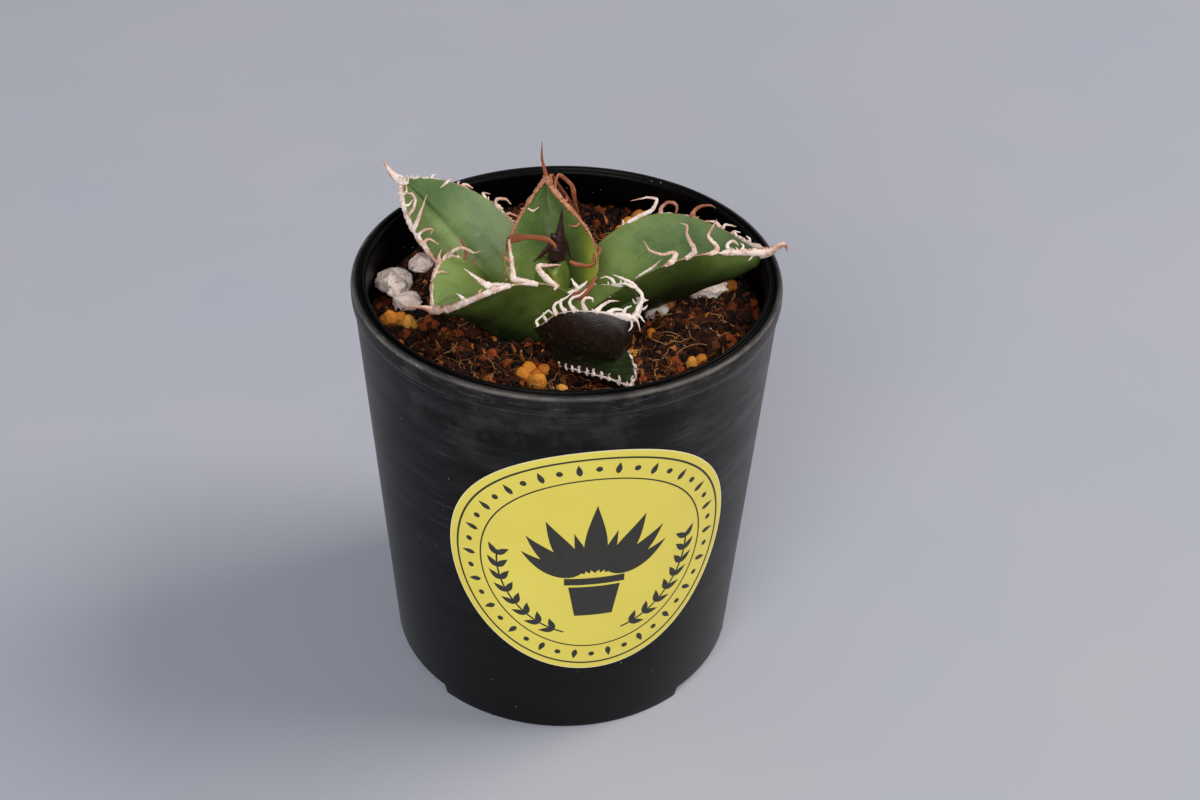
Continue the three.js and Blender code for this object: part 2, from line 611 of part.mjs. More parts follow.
// A broken lump with uneven faces, around its own middle; detail 0 has 20 faces and 1 has 80
function lumpSolid(halfX, halfY, halfZ, detail, random, grow) {
  const g = new THREE.IcosahedronGeometry(1, detail);
  const merged = mergeVertices(
    new THREE.BufferGeometry().setAttribute("position", g.getAttribute("position")), 1e-4,
  );
  const p = merged.attributes.position;
  for (let i = 0; i < p.count; i++) {
    const s = 1 + 0.3 * (random() - 0.5);
    p.setXYZ(
      i, p.getX(i) * (halfX * s + grow), p.getY(i) * (halfY * s + grow), p.getZ(i) * (halfZ * s + grow),
    );
  }
  return solidOf(merged);
}

function stoneSolid(index, grow) {
  const [x, y, above, halfX, halfY, halfZ, turn] = PUMICE[index];
  const lump = lumpSolid(halfX, halfY, halfZ, 1, randomOf(40 + index), grow);
  return lump.rotate([12, -9, turn]).translate([x, y, soilHeight(x, y) + above]);
}

// Grains heaped against each other so that they hold together as one body
function gritSolid(index, grow) {
  const [x, y, count, size] = GRIT[index];
  const random = randomOf(70 + index);
  const pieces = [];
  for (let i = 0; i < count; i++) {
    const angle = i * 2.4 + index;
    const far = i === 0 ? 0 : size * (0.75 + 0.42 * Math.sqrt(i));
    const r = size * (0.8 + 0.35 * random());
    const gx = x + far * Math.cos(angle);
    const gy = y + far * Math.sin(angle);
    const lump = lumpSolid(r * 1.15, r, r * 0.95, 0, random, grow);
    pieces.push(
      lump.rotate([60 * random(), 60 * random(), 360 * random()])
        .translate([gx, gy, soilHeight(gx, gy) + 0.7]),
    );
  }
  return union(pieces);
}

// The short stem that the leaves grow from, standing in its hole in the mix
function crownSolid(grow) {
  const { radius, height, depth, sides } = CROWN;
  const g = new THREE.LatheGeometry(
    [
      [0, -depth - grow], [radius * 0.5 + grow, -depth - grow], [radius * 0.8 + grow, -depth * 0.4],
      [radius + grow, 0], [radius * 0.75 + grow, height * 0.7], [0, height + grow],
    ].map(([r, z]) => new THREE.Vector2(r, z)),
    sides,
  );
  g.rotateX(Math.PI / 2);
  return solidOf(g);
}

// ---------- the object ----------
const potted = new THREE.Group();

function addMesh(parent, name, solid, color, roughness) {
  const mesh = new THREE.Mesh(geometryOf(solid), material(color, roughness));
  mesh.name = name;
  parent.add(mesh);
  return mesh;
}

addMesh(potted, "pot", potSolid(), COLOUR.pot, 0.45);
const sticker = addMesh(potted, "sticker", stickerSolid(), COLOUR.sticker, 0.35);
sticker.rotation.z = rad(STICKER.azimuth);

// The plant, in its own group at the crown. Each blade is cut clear of the crown and of the blades
// inside it, and each margin of all blades and of the margins before it.
const plant = new THREE.Group();
plant.position.set(CROWN.x, CROWN.y, CROWN.z);
potted.add(plant);
addMesh(plant, "crown", crownSolid(0), COLOUR.crown, 0.6);

const names = Object.keys(LEAVES);
const { alongSteps, acrossSteps } = BLADE;
const blades = {};
const taken = [crownSolid(GAP)];
for (const name of names) {
  const blade = bladeSolid(LEAVES[name], 0, alongSteps, acrossSteps);
  blades[name] = largest(blade.subtract(union(taken)).simplify(FINEST));
  taken.push(bladeSolid(LEAVES[name], GAP, alongSteps, acrossSteps));
}
const margins = {};
names.forEach((name, i) => {
  const others = taken.filter((_, k) => k !== i + 1);
  const before = names.slice(0, i).map((other) => marginSolid(other, GAP));
  const margin = marginSolid(name, 0).subtract(union([...others, ...before]));
  margins[name] = largest(margin.simplify(FINEST));
});
for (const name of names) {
  const dark = name === "front_dark";
  const horn = name === "spear" ? COLOUR.darkHorn : COLOUR.horn;
  addMesh(plant, `leaf_${name}`, blades[name], dark ? COLOUR.darkLeaf : COLOUR.leaf, 0.5);
  addMesh(plant, `margin_${name}`, margins[name], horn, 0.7);
}

// The mix, with a plain hole for the plant and a seat for each stone and cluster of grit
const hollows = names.map((name) => bladeSolid(LEAVES[name], 2 * GAP, 8, 6));
const plantSpace = union([crownSolid(GAP), ...hollows]).translate([CROWN.x, CROWN.y, CROWN.z]);
let soil = soilSolid().subtract(plantSpace);
const marginSpace = union(names.map((name) => marginSolid(name, GAP)))
  .translate([CROWN.x, CROWN.y, CROWN.z]);
const clearOfPlant = (solid) => largest(solid.subtract(plantSpace).subtract(marginSpace));
PUMICE.forEach((_, i) => {
  soil = soil.subtract(stoneSolid(i, GAP));
  addMesh(potted, `pumice_${i + 1}`, clearOfPlant(stoneSolid(i, 0)), COLOUR.pumice, 0.9);
});
GRIT.forEach((_, i) => {
  soil = soil.subtract(gritSolid(i, GAP));
  addMesh(potted, `grit_${i + 1}`, clearOfPlant(gritSolid(i, 0)), COLOUR.grit, 0.8);
});
addMesh(potted, "soil", largest(soil.simplify(FINEST)), COLOUR.soil, 0.95);

export default potted;
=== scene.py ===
import json
import math
import random

import bmesh
import bpy
import numpy as np
from bpy.props import FloatProperty, FloatVectorProperty, IntProperty, PointerProperty
from mathutils import Matrix, Vector, noise
from mathutils.bvhtree import BVHTree

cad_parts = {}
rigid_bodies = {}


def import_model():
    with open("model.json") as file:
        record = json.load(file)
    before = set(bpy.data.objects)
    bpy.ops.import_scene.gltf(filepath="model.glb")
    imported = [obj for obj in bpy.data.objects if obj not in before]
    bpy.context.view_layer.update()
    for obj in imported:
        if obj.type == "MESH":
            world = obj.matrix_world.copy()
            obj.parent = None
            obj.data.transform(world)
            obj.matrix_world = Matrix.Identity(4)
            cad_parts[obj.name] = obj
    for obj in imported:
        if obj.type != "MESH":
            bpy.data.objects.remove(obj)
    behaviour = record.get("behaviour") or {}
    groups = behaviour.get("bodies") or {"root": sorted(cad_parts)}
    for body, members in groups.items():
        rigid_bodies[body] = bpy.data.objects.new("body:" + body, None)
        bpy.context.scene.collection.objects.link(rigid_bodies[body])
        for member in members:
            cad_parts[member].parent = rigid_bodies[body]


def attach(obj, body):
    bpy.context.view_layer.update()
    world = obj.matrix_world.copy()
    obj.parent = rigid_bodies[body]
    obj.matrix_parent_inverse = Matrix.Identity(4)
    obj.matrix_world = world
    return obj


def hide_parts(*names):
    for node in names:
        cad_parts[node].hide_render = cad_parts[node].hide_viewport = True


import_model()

bl_info = {
    "name": "Potted agave",
    "version": (1, 0, 0),
    "blender": (4, 5, 0),
    "location": "3D View > Sidebar > Agave",
    "description": "Finishes the potted agave piece by piece over its packed model",
    "category": "Object",
}

# ---------- sizes, in millimetres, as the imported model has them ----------
MM = 0.001
RIM_RADIUS = 45.0
POT_HEIGHT = 96.5
FOOT_RADIUS = 39.2
WALL = 1.6
RIM_WIDTH = 3.3
RIM_DROP = 4.0
BEAD_PROUD = 0.5
COLLAR_HEIGHT = 8.0
FLOOR_UNDERSIDE = 2.8
FLOOR_TOP = 4.6
FOOT_WIDTH = 2.4
NOTCH_CENTRES = (90.0, 210.0, 330.0)  # degrees round the foot
NOTCH_HALF_ANGLE = 18.0
NOTCH_HEIGHT = 2.5
DRAIN_RADIUS = 4.0
DRAIN_RING = 22.0
DRAIN_COUNT = 6
DRILL_SPAN = (-3.0, 9.0)  # the heights that a drainage hole's cutter runs between
STICKER_RADIUS = 31.5
STICKER_AZIMUTH = -81.0
STICKER_MIDDLE = 51.5
FILM_LIFTS = (0.04, 0.24)  # the back and the face of the sticker's film, out from the wall
INK_LIFTS = (0.25, 0.275)
AIR = 0.3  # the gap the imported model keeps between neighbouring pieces
SOIL_LEVEL = 86.0
SOIL_RADIUS = RIM_RADIUS - RIM_WIDTH - AIR
CROWN = Vector((-1.0, 0.0, 84.0))
KEEL_ROUND = 0.3  # how round a leaf's fold is, as a share of its half width
EDGE_THICK = 0.9
MARGIN_NEAR = 0.42  # half width of the horny edge near the crown
MARGIN_FAR = 0.75  # and at the tip
MARGIN_START = 0.12  # where it begins, as a share of the leaf
UP_AND_BACK = np.array((0.0, 0.6, 0.8))  # the plane that the curls of horn stand in
TO_THE_EYE = np.array((0.0, -0.8, 0.6))  # square to that plane
STONE_SWELL = 1.17  # makes up for what the flat faces cut off a stone
FIBRE_RADIUS = 0.08
PER_SQUARE_CM = 1e4  # turns a number in a square centimetre into one in a square metre
FLOOR_HALF = 14000.0  # so far that its end is out of every view

# One entry for each leaf, measured from the crown. base is where it leaves the crown and tail how
# far it reaches back into it; azimuth is its heading and swing how far that turns by the tip; rise
# is its slope at the base, the middle and the tip; roll is its twist and fold how far its halves
# are folded up, at the base and the tip; widest is where it is widest, waist its half width at the
# base as a share of half_width; flesh is its thickness along the midrib; spine is its end spine,
# slender how slim that is and spine_browner how much browner it gets; horn is where its horny edge
# begins and cut the half width that its blade ends at. The closed leaf's spine and wings are the
# points of its horn. The small teeth of a left or right side are (where along the leaf, length,
# lean, curl, lift), with the angles in degrees.
LEAVES = {
    "spear": dict(
        base=(-2, -1.5, 1), tail=1, azimuth=-88, length=20.5, rise=(84, 92, 97), swing=0,
        roll=(0, 0), half_width=6.6, waist=0.9, widest=0.3, fold=(52, 56), flesh=(4, 5.4, 4.6),
        horn=0.6, cut=2.6,
        spine=((-1.3, -1.9, 16.6), (-1.1, -2, 19), (-0.64, -2, 22.1), (-0.47, -2, 25.2),
               (-0.3, -2, 28.8)),
        wings=(((-1.2, -2.6, 22.2), (-2.4, -2.6, 20), (-4.1, -2.6, 17.9), (-6, -2.6, 15.9)),
               ((-0.4, -2.3, 21.6), (0.7, -2.2, 19.4), (1.7, -2.2, 16.6))),
    ),
    "back_centre": dict(
        base=(-1, 5, 1), tail=2, azimuth=95, length=27.5, rise=(69, 59, 98), swing=27,
        roll=(-12, -35), half_width=12, waist=0.6, widest=0.3, fold=(32, 33), flesh=(5, 4.5, 2),
        spine=dict(radius=0.95, waist=0.6, bend=(-0.9, 0.2, 4), end=(-0.9, -0.6, 8.5)),
        slender=0.48, spine_browner=1.2,
    ),
    "right": dict(
        base=(5, 0, 1), tail=2, azimuth=12, length=41.5, rise=(41, 15, 32), swing=-16,
        roll=(-3, -9), half_width=16, waist=0.54, widest=0.43, fold=(31, 48), flesh=(7, 5, 2),
        spine=dict(radius=1.25, waist=0.6, bend=(2.8, 0.5, 1.6), end=(3.9, 1.2, -0.6)),
    ),
    "front_left": dict(
        base=(-5, -3, 1), tail=2, azimuth=189, length=26, rise=(35, 27, -40), swing=14,
        roll=(48, 1), half_width=15.4, waist=0.73, widest=0.62, fold=(29, 15),
        flesh=(6.5, 6.5, 2.2),
        spine=dict(radius=1.2, waist=0.5, bend=(-2, -0.2, 0.8), end=(-5.4, -0.4, 1)),
    ),
    "back_left": dict(
        base=(-5, 4, 0), tail=2, azimuth=158, length=44.5, rise=(17, 32, -5), swing=-31,
        roll=(-13, -18), half_width=11.2, waist=0.65, widest=0.45, fold=(27, 25),
        flesh=(6, 6, 2.2),
        spine=dict(radius=1.4, waist=0.6, bend=(-1.8, 0.8, 1.2), end=(-3.6, 1.6, 4)),
    ),
    "front_dark": dict(
        base=(1, -6, 0), tail=2, azimuth=-34, length=22, rise=(20, 41, 32), swing=-15,
        roll=(9, -24), half_width=12, waist=0.87, widest=0.45, fold=(47, 20),
        flesh=(8, 7.5, 2.4),
        spine=dict(radius=0.9, waist=0.6, bend=(0.9, -0.6, -0.2), end=(1.5, -1.3, -2)),
        slender=0.5,
    ),
    "front_low": dict(
        base=(4, -10, 0.5), tail=7, azimuth=-67, length=21.5, rise=(3, 8, 22), swing=11,
        roll=(3, -30), half_width=8.4, waist=0.76, widest=0.36, fold=(1, 11),
        flesh=(2.6, 2.4, 1.3),
        spine=dict(radius=0.65, waist=0.6, bend=(0.2, -0.8, 0.2), end=(0.5, -1.6, 0.6)),
        left=(
            (0.3, 1.4, 0, 60, 60), (0.4, 2, 10, -50, 115), (0.48, 1.8, -20, 60, 120),
            (0.56, 2.2, 10, -60, 115), (0.63, 1.8, -10, 60, 120), (0.7, 2, 20, -50, 110),
            (0.78, 1.8, -20, 50, 120), (0.86, 1.6, 10, -40, 110), (0.93, 1.3, 0, 30, 90),
        ),
        right=(
            (0.3, 1.2, 0, 40, 70), (0.42, 1.5, -10, 50, 75), (0.5, 1.3, 10, -60, 80),
            (0.57, 1.8, -10, 60, 80), (0.64, 1.5, 20, -40, 75), (0.7, 1.9, -20, 60, 80),
            (0.76, 1.5, 10, -50, 80), (0.82, 1.9, -10, 60, 75), (0.89, 2, 20, -60, 80),
            (0.95, 1.2, 0, 30, 70),
        ),
    ),
}
# Long dry strands of margin: the leaf and side each one leaves, and the points it runs through.
STRANDS = (
    dict(leaf="back_centre", side=1, at=0.5, thick=0.95, path=(
        (-11, 2, 18.4), (-8, -1, 20.8), (-4.6, -3, 21.9), (-2.3, -4, 21.6), (-1.2, -4.6, 20.4))),
    dict(leaf="back_centre", side=-1, at=0.46, thick=0.66, path=(
        (6.5, 5, 14.2), (6.2, 1.5, 12.8), (3.4, -0.8, 14.2), (1.3, -1.4, 15.4))),
    dict(leaf="back_centre", side=-1, at=0.93, thick=0.66, path=(
        (-3, 16.8, 25.2), (-0.6, 18, 21.2), (1.4, 18.4, 17.4), (4, 17.6, 12),
        (6.2, 16.4, 8))),
    dict(leaf="back_centre", side=-1, at=0.9, thick=0.55, path=(
        (-1.2, 17.4, 25), (1.6, 18.4, 22), (2.2, 18.6, 18.6), (3.4, 18, 14.2),
        (5.6, 16.8, 9))),
)
# The larger curls of horn as they stand towards the front: the side of the leaf, where along it,
# how much browner than their margin, then the points from the root (to the right, and up and back)
# and the half width at each.
CURLS = {
    "front_left": (
        (1, 0.23, 0, ((0.3, -0.2), (-2, 1.7), (-3.7, 3.7), (-3.4, 4.4), (-1.6, 4.4), (0.9, 4.6)),
         (0.79, 0.72, 0.61, 0.54, 0.36, 0.11)),
        (1, 0.48, 0.1, ((2.4, -0.1), (-0.4, 0.4), (-2.4, 0.8), (-2.7, 2), (-2.9, 4.2), (-3.3, 6.7),
                        (-3.6, 8.8)), (0.5, 0.72, 0.72, 0.58, 0.45, 0.36, 0.25)),
        (1, 0.03, -0.2, ((0, 0), (1.5, 0.6), (2.3, 1.1), (3.2, 1.8), (4, 2.6)),
         (0.29, 0.36, 0.43, 0.36, 0.11)),
        (1, 0.03, -0.1, ((2.2, 1), (1.4, 1.9), (0.6, 3.1)), (0.43, 0.36, 0.11)),
        (1, 0.03, 0.9, ((0.8, -0.8), (3, -0.3), (4.8, 1.5), (5.8, 3.8)), (0.58, 0.86, 0.58, 0.09)),
        (1, 0.61, 0, ((1.4, 0.4), (-1.2, 0.1), (-3.4, 0.5), (-5.4, 1.9), (-7.9, 3.6)),
         (0.58, 0.9, 0.72, 0.36, 0.07)),
        (1, 0.8, 0, ((0.5, 0), (-0.5, 1.2), (-1.6, 1.9)), (0.58, 0.32, 0.09)),
        (1, 0.73, 0, ((0, 0), (0.2, 1.1), (0.7, 1.6)), (0.36, 0.22, 0.07)),
        (-1, 0.71, 0.1, ((0, -0.2), (0.9, 1.2), (3, 2.2), (4.6, 1.7), (5.6, 1.2), (7.2, 1.5)),
         (0.65, 0.43, 0.36, 0.32, 0.25, 0.09)),
        (-1, 0.78, 0.2, ((0, 0), (-0.3, 1.6), (0.3, 3)), (0.65, 0.36, 0.09)),
        (-1, 0.76, 0.2, ((0, 0), (0.9, 1.5), (2, 2.4)), (0.5, 0.29, 0.09)),
        (-1, 0.84, 0.1, ((0, 0), (1.6, 0.3), (2.9, -0.1)), (0.43, 0.25, 0.09)),
        (-1, 0.575, 0.75, ((0.4, -0.2), (0.7, 1.6), (0.1, 3.6), (-0.8, 5.4)), (0.36, 0.29, 0.25, 0.07)),
        (-1, 0.44, 0.5, ((0, 0), (-0.7, 1.4), (-0.3, 2.7)), (0.36, 0.29, 0.09)),
    ),
    "right": (
        (1, 0.36, 0, ((-0.3, -0.2), (1.7, 1.1), (4.4, 2.4), (5.3, 3.4), (5.7, 5), (3.6, 5.3),
                        (0.2, 4.6)), (0.58, 0.5, 0.47, 0.43, 0.36, 0.25, 0.07)),
        (1, 0.505, 0.35, ((0, -0.1), (0.1, 1.3), (1.3, 2.4), (2.8, 2.4), (3.5, 1.4), (3.3, 0.2)),
         (0.58, 0.4, 0.36, 0.36, 0.29, 0.22)),
        (1, 0.65, 0.6, ((0, -0.1), (0.5, 1.4), (1.9, 2.4), (3.8, 2.6), (5.1, 2)),
         (0.72, 0.47, 0.32, 0.25, 0.07)),
        (1, 0.77, 0.1, ((0.6, 0), (-0.6, 1.1), (-3, 1.2)), (0.43, 0.32, 0.09)),
        (1, 0.79, 0, ((0, 0), (0.8, 1), (3, 0.6)), (0.43, 0.29, 0.09)),
        (1, 0.86, -0.1, ((0, 0), (-0.8, 1.2), (0.6, 1)), (0.36, 0.25, 0.09)),
        (1, 0.91, -0.1, ((0, 0), (0.3, 0.9), (-0.6, 1.5)), (0.36, 0.25, 0.09)),
        (-1, 0.305, -0.1, ((0, 0), (1.9, 1.4), (4.1, 3), (6, 4.7)), (0.22, 0.45, 0.36, 0.07)),
        (-1, 0.185, -0.1, ((0, 0), (1.2, 0.8), (2.5, 1.7)), (0.09, 0.26, 0.07)),
        (-1, 0.5, 0, ((-0.9, -0.5), (0.7, 0.6), (1.3, 2), (0.4, 2.3), (-1.4, 1.9), (-3.9, 2.6),
                         (-5.3, 4.6)), (0.36, 0.68, 0.65, 0.43, 0.36, 0.29, 0.09)),
        (-1, 0.605, 0, ((-0.6, -0.3), (1, 0.9), (1, 1.9), (0.2, 3), (-0.5, 4.6), (-0.5, 6.4),
                         (-1.9, 7)), (0.5, 0.68, 0.54, 0.43, 0.36, 0.29, 0.07)),
        (-1, 0.725, 0, ((-0.4, -0.2), (1.2, 0.6), (1.3, 1.7), (0.2, 2.7), (-0.5, 3.8), (0.4, 5.6),
                          (1.1, 7)), (0.43, 0.68, 0.54, 0.43, 0.36, 0.27, 0.07)),
        (-1, 0.82, -0.15, ((0, 0), (-0.4, 1.7), (0.9, 2.5), (2, 1.5)), (0.5, 0.36, 0.29, 0.11)),
        (-1, 0.87, -0.1, ((0, 0), (0.8, 1.2), (0.2, 2)), (0.43, 0.29, 0.09)),
        (-1, 0.93, 0, ((0, 0), (-0.2, -1), (-0.9, -1.7)), (0.29, 0.22, 0.07)),
    ),
    "front_dark": (
        (-1, 0.06, 0, ((0, 0), (-0.4, 1.2), (0.7, 2.2), (1.1, 3)), (0.35, 0.26, 0.2, 0.09)),
        (-1, 0.3, 0, ((0, 0), (-0.6, 1.2), (0.5, 2.1), (1.4, 1.2)), (0.35, 0.26, 0.24, 0.11)),
        (-1, 0.49, 0, ((0.2, -0.1), (-0.4, 1.3), (0, 2.2), (1.6, 3.1), (3.4, 4.6)),
         (0.5, 0.35, 0.3, 0.24, 0.07)),
        (-1, 0.59, 0, ((0.2, 0), (-0.8, 1.2), (-0.8, 2.4), (0.5, 2.9)), (0.5, 0.35, 0.26, 0.09)),
        (-1, 0.665, 0, ((0.2, -0.1), (-1, 1.4), (-0.6, 2.5), (1.1, 3.2), (2.5, 4.6)),
         (0.53, 0.35, 0.3, 0.22, 0.07)),
        (-1, 0.735, 0, ((0.2, -0.1), (-0.6, 1.5), (0, 2.6), (1.4, 2.5), (1.5, 1.6)),
         (0.53, 0.39, 0.3, 0.25, 0.09)),
        (-1, 0.8, 0, ((-0.2, -0.1), (1, 1.2), (2.6, 2.2), (4.5, 2.2)), (0.59, 0.39, 0.24, 0.07)),
        (-1, 0.87, 0, ((-0.6, 0), (1, 0.9), (3.4, 0.7)), (0.48, 0.35, 0.15)),
        (-1, 0.94, 0, ((0, 0), (0.3, 1.5), (1.6, 2.2)), (0.48, 0.3, 0.09)),
        (-1, 0.98, 0, ((0, 0), (1.3, 0.9), (2.8, -0.7)), (0.48, 0.3, 0.09)),
        (-1, 0.99, 0, ((0, 0), (0.1, -1.6), (-0.6, -2.6)), (0.3, 0.2, 0.07)),
        (1, 0.42, 0, ((0, 0), (-0.6, 1.4), (-1.9, 1.9), (-3.2, 1.6)), (0.41, 0.35, 0.24, 0.09)),
        (1, 0.5, 0, ((0, 0), (0.3, 1.6), (-0.9, 2.4)), (0.35, 0.24, 0.09)),
        (1, 0.58, 0, ((0, 0), (1, 1.1), (0.7, 2.4)), (0.35, 0.24, 0.09)),
        (1, 0.68, 0, ((0, 0), (1.1, 0.5), (1.7, 1.4)), (0.35, 0.24, 0.09)),
        (1, 0.76, 0, ((0, 0), (-1, 0.2), (-1.5, 1.1)), (0.35, 0.24, 0.09)),
        (1, 0.83, 0, ((0, 0), (1, 0.1), (1.7, 0.9)), (0.35, 0.24, 0.09)),
        (1, 0.93, 0, ((-0.2, -0.4), (0.6, 1.7), (1.1, 2.6), (1.5, 3.4), (1.2, 4.7), (0.2, 5.8),
                        (-0.8, 6.8), (-2.4, 7.5), (-4.6, 8.3)),
         (0.45, 0.5, 0.36, 0.45, 0.34, 0.45, 0.36, 0.25, 0.07)),
        (1, 0.93, 0, ((0.2, 5.8), (-0.9, 6.1), (-2.3, 6.6), (-3.4, 6.5)), (0.3, 0.36, 0.25, 0.07)),
        (1, 0.93, 0, ((1.4, 3.6), (2, 3.2), (2.6, 3.3)), (0.3, 0.25, 0.07)),
    ),
    "back_left": (
        (1, 0.73, 0, ((0, 0), (1.5, 1.7), (1.8, 3.4), (1.2, 4.8), (-0.6, 5)),
         (0.43, 0.4, 0.36, 0.29, 0.11)),
        (1, 0.65, 0.15, ((-0.2, -0.2), (0.8, 1.8), (1.8, 4.6), (2.7, 7.7)), (0.65, 0.5, 0.3, 0.07)),
        (1, 0.575, 0, ((0, 0), (-0.7, 1.9), (0.8, 3), (2.3, 3.1), (1.9, 2.1)),
         (0.58, 0.36, 0.3, 0.25, 0.11)),
        (1, 0.535, 0.05, ((0, 0), (-0.7, 1.8), (0.4, 2.6), (2.4, 1.4)), (0.58, 0.4, 0.29, 0.11)),
        (1, 0.94, 0, ((0, 0), (1.4, 0.6), (1.8, 1.8)), (0.36, 0.25, 0.09)),
        (1, 0.79, 0, ((0, 0), (1.2, 0.4), (1.9, 1.5)), (0.43, 0.29, 0.09)),
        (1, 0.86, 0, ((0, 0), (1.2, 0.9), (1, 2.2)), (0.43, 0.29, 0.09)),
        (-1, 0.84, 0, ((0, -0.1), (0.4, 0.8), (1.3, 1)), (0.36, 0.25, 0.09)),
        (-1, 0.77, 0, ((-1.3, -1.4), (0.2, -0.2), (1.2, 0.7)), (0.11, 0.36, 0.09)),
        (-1, 0.69, 0, ((-1, 0.2), (0.4, 0.6), (2, -0.2)), (0.22, 0.36, 0.11)),
        (-1, 0.575, 0, ((0, 0), (-0.8, 1.3), (0.8, 1.1)), (0.36, 0.25, 0.09)),
        (-1, 0.49, 0.05, ((0.4, 0), (-0.9, 1.2), (-0.7, 2.2), (1.2, 2.3), (2.4, 1.2)),
         (0.58, 0.4, 0.36, 0.29, 0.11)),
        (-1, 0.425, 0.15, ((0.6, -0.2), (-1, 0.5), (0, 1.3), (2.4, 0.4)),
         (0.58, 0.43, 0.36, 0.11)),
    ),
    "back_centre": (
        (1, 0.78, -0.5, ((0, 0.2), (1.8, -0.6), (3, 0.2)), (0.14, 0.29, 0.07)),
        (1, 0.4, -0.1, ((0, 0), (1.3, -1), (2.2, -0.6)), (0.36, 0.32, 0.09)),
        (1, 0.28, 0, ((0, 0), (1, 0.9), (1.9, 0.6)), (0.36, 0.25, 0.09)),
        (-1, 0.62, 0.1, ((0, 0), (-1, -1.1), (-2.9, -0.9)), (0.36, 0.25, 0.09)),
        (-1, 0.33, 0.2, ((0, 0), (0.7, 1), (0.2, 1.9)), (0.43, 0.29, 0.09)),
        (-1, 0.8, 0.1, ((0, 0), (0.6, 0.7), (0.3, 1.4)), (0.36, 0.25, 0.07)),
    ),
}
# How brown the horn of each leaf is, from 0 for bleached to 1 for rust, near the crown and the tip
HORN_WARMTH = {
    "spear": (0.9, 1), "back_centre": (0.5, 0.62), "right": (0.3, 0.2),
    "front_left": (0.2, 0.3), "back_left": (0.42, 0.12), "front_dark": (0.02, 0.05),
    "front_low": (0, 0.05),
}
# How full the horny strip is along each side, as (where along the leaf, share) pairs: the left
# side first, then the right. Near the crown the edge is almost bare.
HORN_FULLNESS = {
    "spear": (((0.5, 0.2), (1, 0.6)), ((0.5, 0.2), (1, 0.6))),
    "back_centre": (
        ((0.12, 0.1), (0.3, 0.45), (0.5, 0.7), (1, 0.8)),
        ((0.12, 0.15), (0.3, 0.5), (0.45, 0.75), (0.7, 0.95), (1, 0.9))),
    "right": (
        ((0.12, 0), (0.3, 0.1), (0.36, 0.5), (0.42, 0.3), (0.48, 0.1), (0.53, 0.4), (0.58, 0.2),
         (0.64, 0.4), (0.7, 0.15), (0.82, 0.2), (0.88, 0.7), (1, 1)),
        ((0.12, 0), (0.45, 0.05), (0.52, 0.3), (0.56, 0.1), (0.61, 0.35), (0.66, 0.1),
         (0.72, 0.4), (0.77, 0.3), (0.8, 0.95), (1, 1.05))),
    "front_left": (
        ((0.1, 0), (0.2, 0.1), (0.25, 0.3), (0.33, 0.1), (0.44, 0.3), (0.5, 0.5), (0.54, 0.2),
         (0.58, 0.5), (0.63, 1), (1, 1.05)),
        ((0.2, 0), (0.4, 0.15), (0.5, 0.6), (0.6, 0.8), (1, 0.9))),
    "back_left": (
        ((0.12, 0), (0.3, 0.1), (0.42, 0.5), (0.5, 0.8), (0.7, 0.95), (1, 1)),
        ((0.12, 0), (0.3, 0.15), (0.42, 0.65), (0.5, 0.7), (0.56, 0.25), (0.66, 0.3), (0.7, 0.6),
         (0.76, 0.25), (0.88, 0.6), (1, 1))),
    "front_dark": (
        ((0.12, 0.1), (0.35, 0.4), (0.45, 1), (0.9, 1.05), (1, 0.8)),
        ((0.1, 0.1), (0.2, 0.15), (0.6, 0.15), (0.84, 0.3), (0.92, 0.7), (1, 0.8))),
    "front_low": (((0.12, 0), (0.4, 0.2), (1, 0.35)), ((0.12, 0), (0.4, 0.2), (1, 0.35))),
}
# White stones: (x, y, height of the middle above the mix, half sizes, turn)
PUMICE = (
    (-37.2, 7, 1.3, 3.4, 3, 2.6, 60),
    (-34.2, 0.5, 0.9, 3, 2.2, 1.9, -20),
    (-32, 15.5, 1, 2.6, 2, 1.8, 40),
    (30, 8.2, 1.2, 4.2, 2.8, 2.4, -12),
    (19, 2.6, 0.7, 2.2, 2.4, 1.7, 30),
)
# Clusters of clay granules: (x, y, number, radius)
GRIT = (
    (-6, -21.5, 5, 1.7), (-35.2, -5, 3, 1.8), (14, 32, 3, 2.2), (34, 11.5, 3, 1.6),
    (26, -16.5, 2, 1.6),
)


# ---------- small helpers ----------
def colour(code):
    """An sRGB hex colour as the linear RGBA that shaders use."""
    parts = [int(code.lstrip("#")[i:i + 2], 16) / 255 for i in (0, 2, 4)]
    return tuple(c / 12.92 if c <= 0.04045 else ((c + 0.055) / 1.055) ** 2.4 for c in parts) + (1.0,)


def per_mm(size):
    """The texture scale that makes a pattern's features this many millimetres wide."""
    return 1.0 / (size * MM)


def lerp(a, b, t):
    return a + (b - a) * t


def ease(low, high, x):
    """0 below low, 1 above high, smooth between."""
    t = min(max((x - low) / (high - low), 0.0), 1.0)
    return t * t * (3 - 2 * t)


def bump_at(centre, width, x):
    """1 at the centre, falling off to 0 over about the width on either side."""
    return math.exp(-(((x - centre) / width) ** 2))


def add_node(tree, kind, inputs=None, **settings):
    """One node with its settings; each input is a value or the socket that feeds it."""
    node = tree.nodes.new(kind)
    for key, value in settings.items():
        setattr(node, key, value)
    for key, value in (inputs or {}).items():
        if isinstance(value, bpy.types.NodeSocket):
            tree.links.new(value, node.inputs[key])
        else:
            node.inputs[key].default_value = value
    return node


def made(tree, kind, inputs=None, **settings):
    """The first output of a new node."""
    return add_node(tree, kind, inputs, **settings).outputs[0]


def maths(tree, operation, *values):
    return made(tree, "ShaderNodeMath", dict(enumerate(values)), operation=operation)


def times(tree, first, *others):
    """The product of sockets and numbers."""
    for other in others:
        first = maths(tree, "MULTIPLY", first, other)
    return first


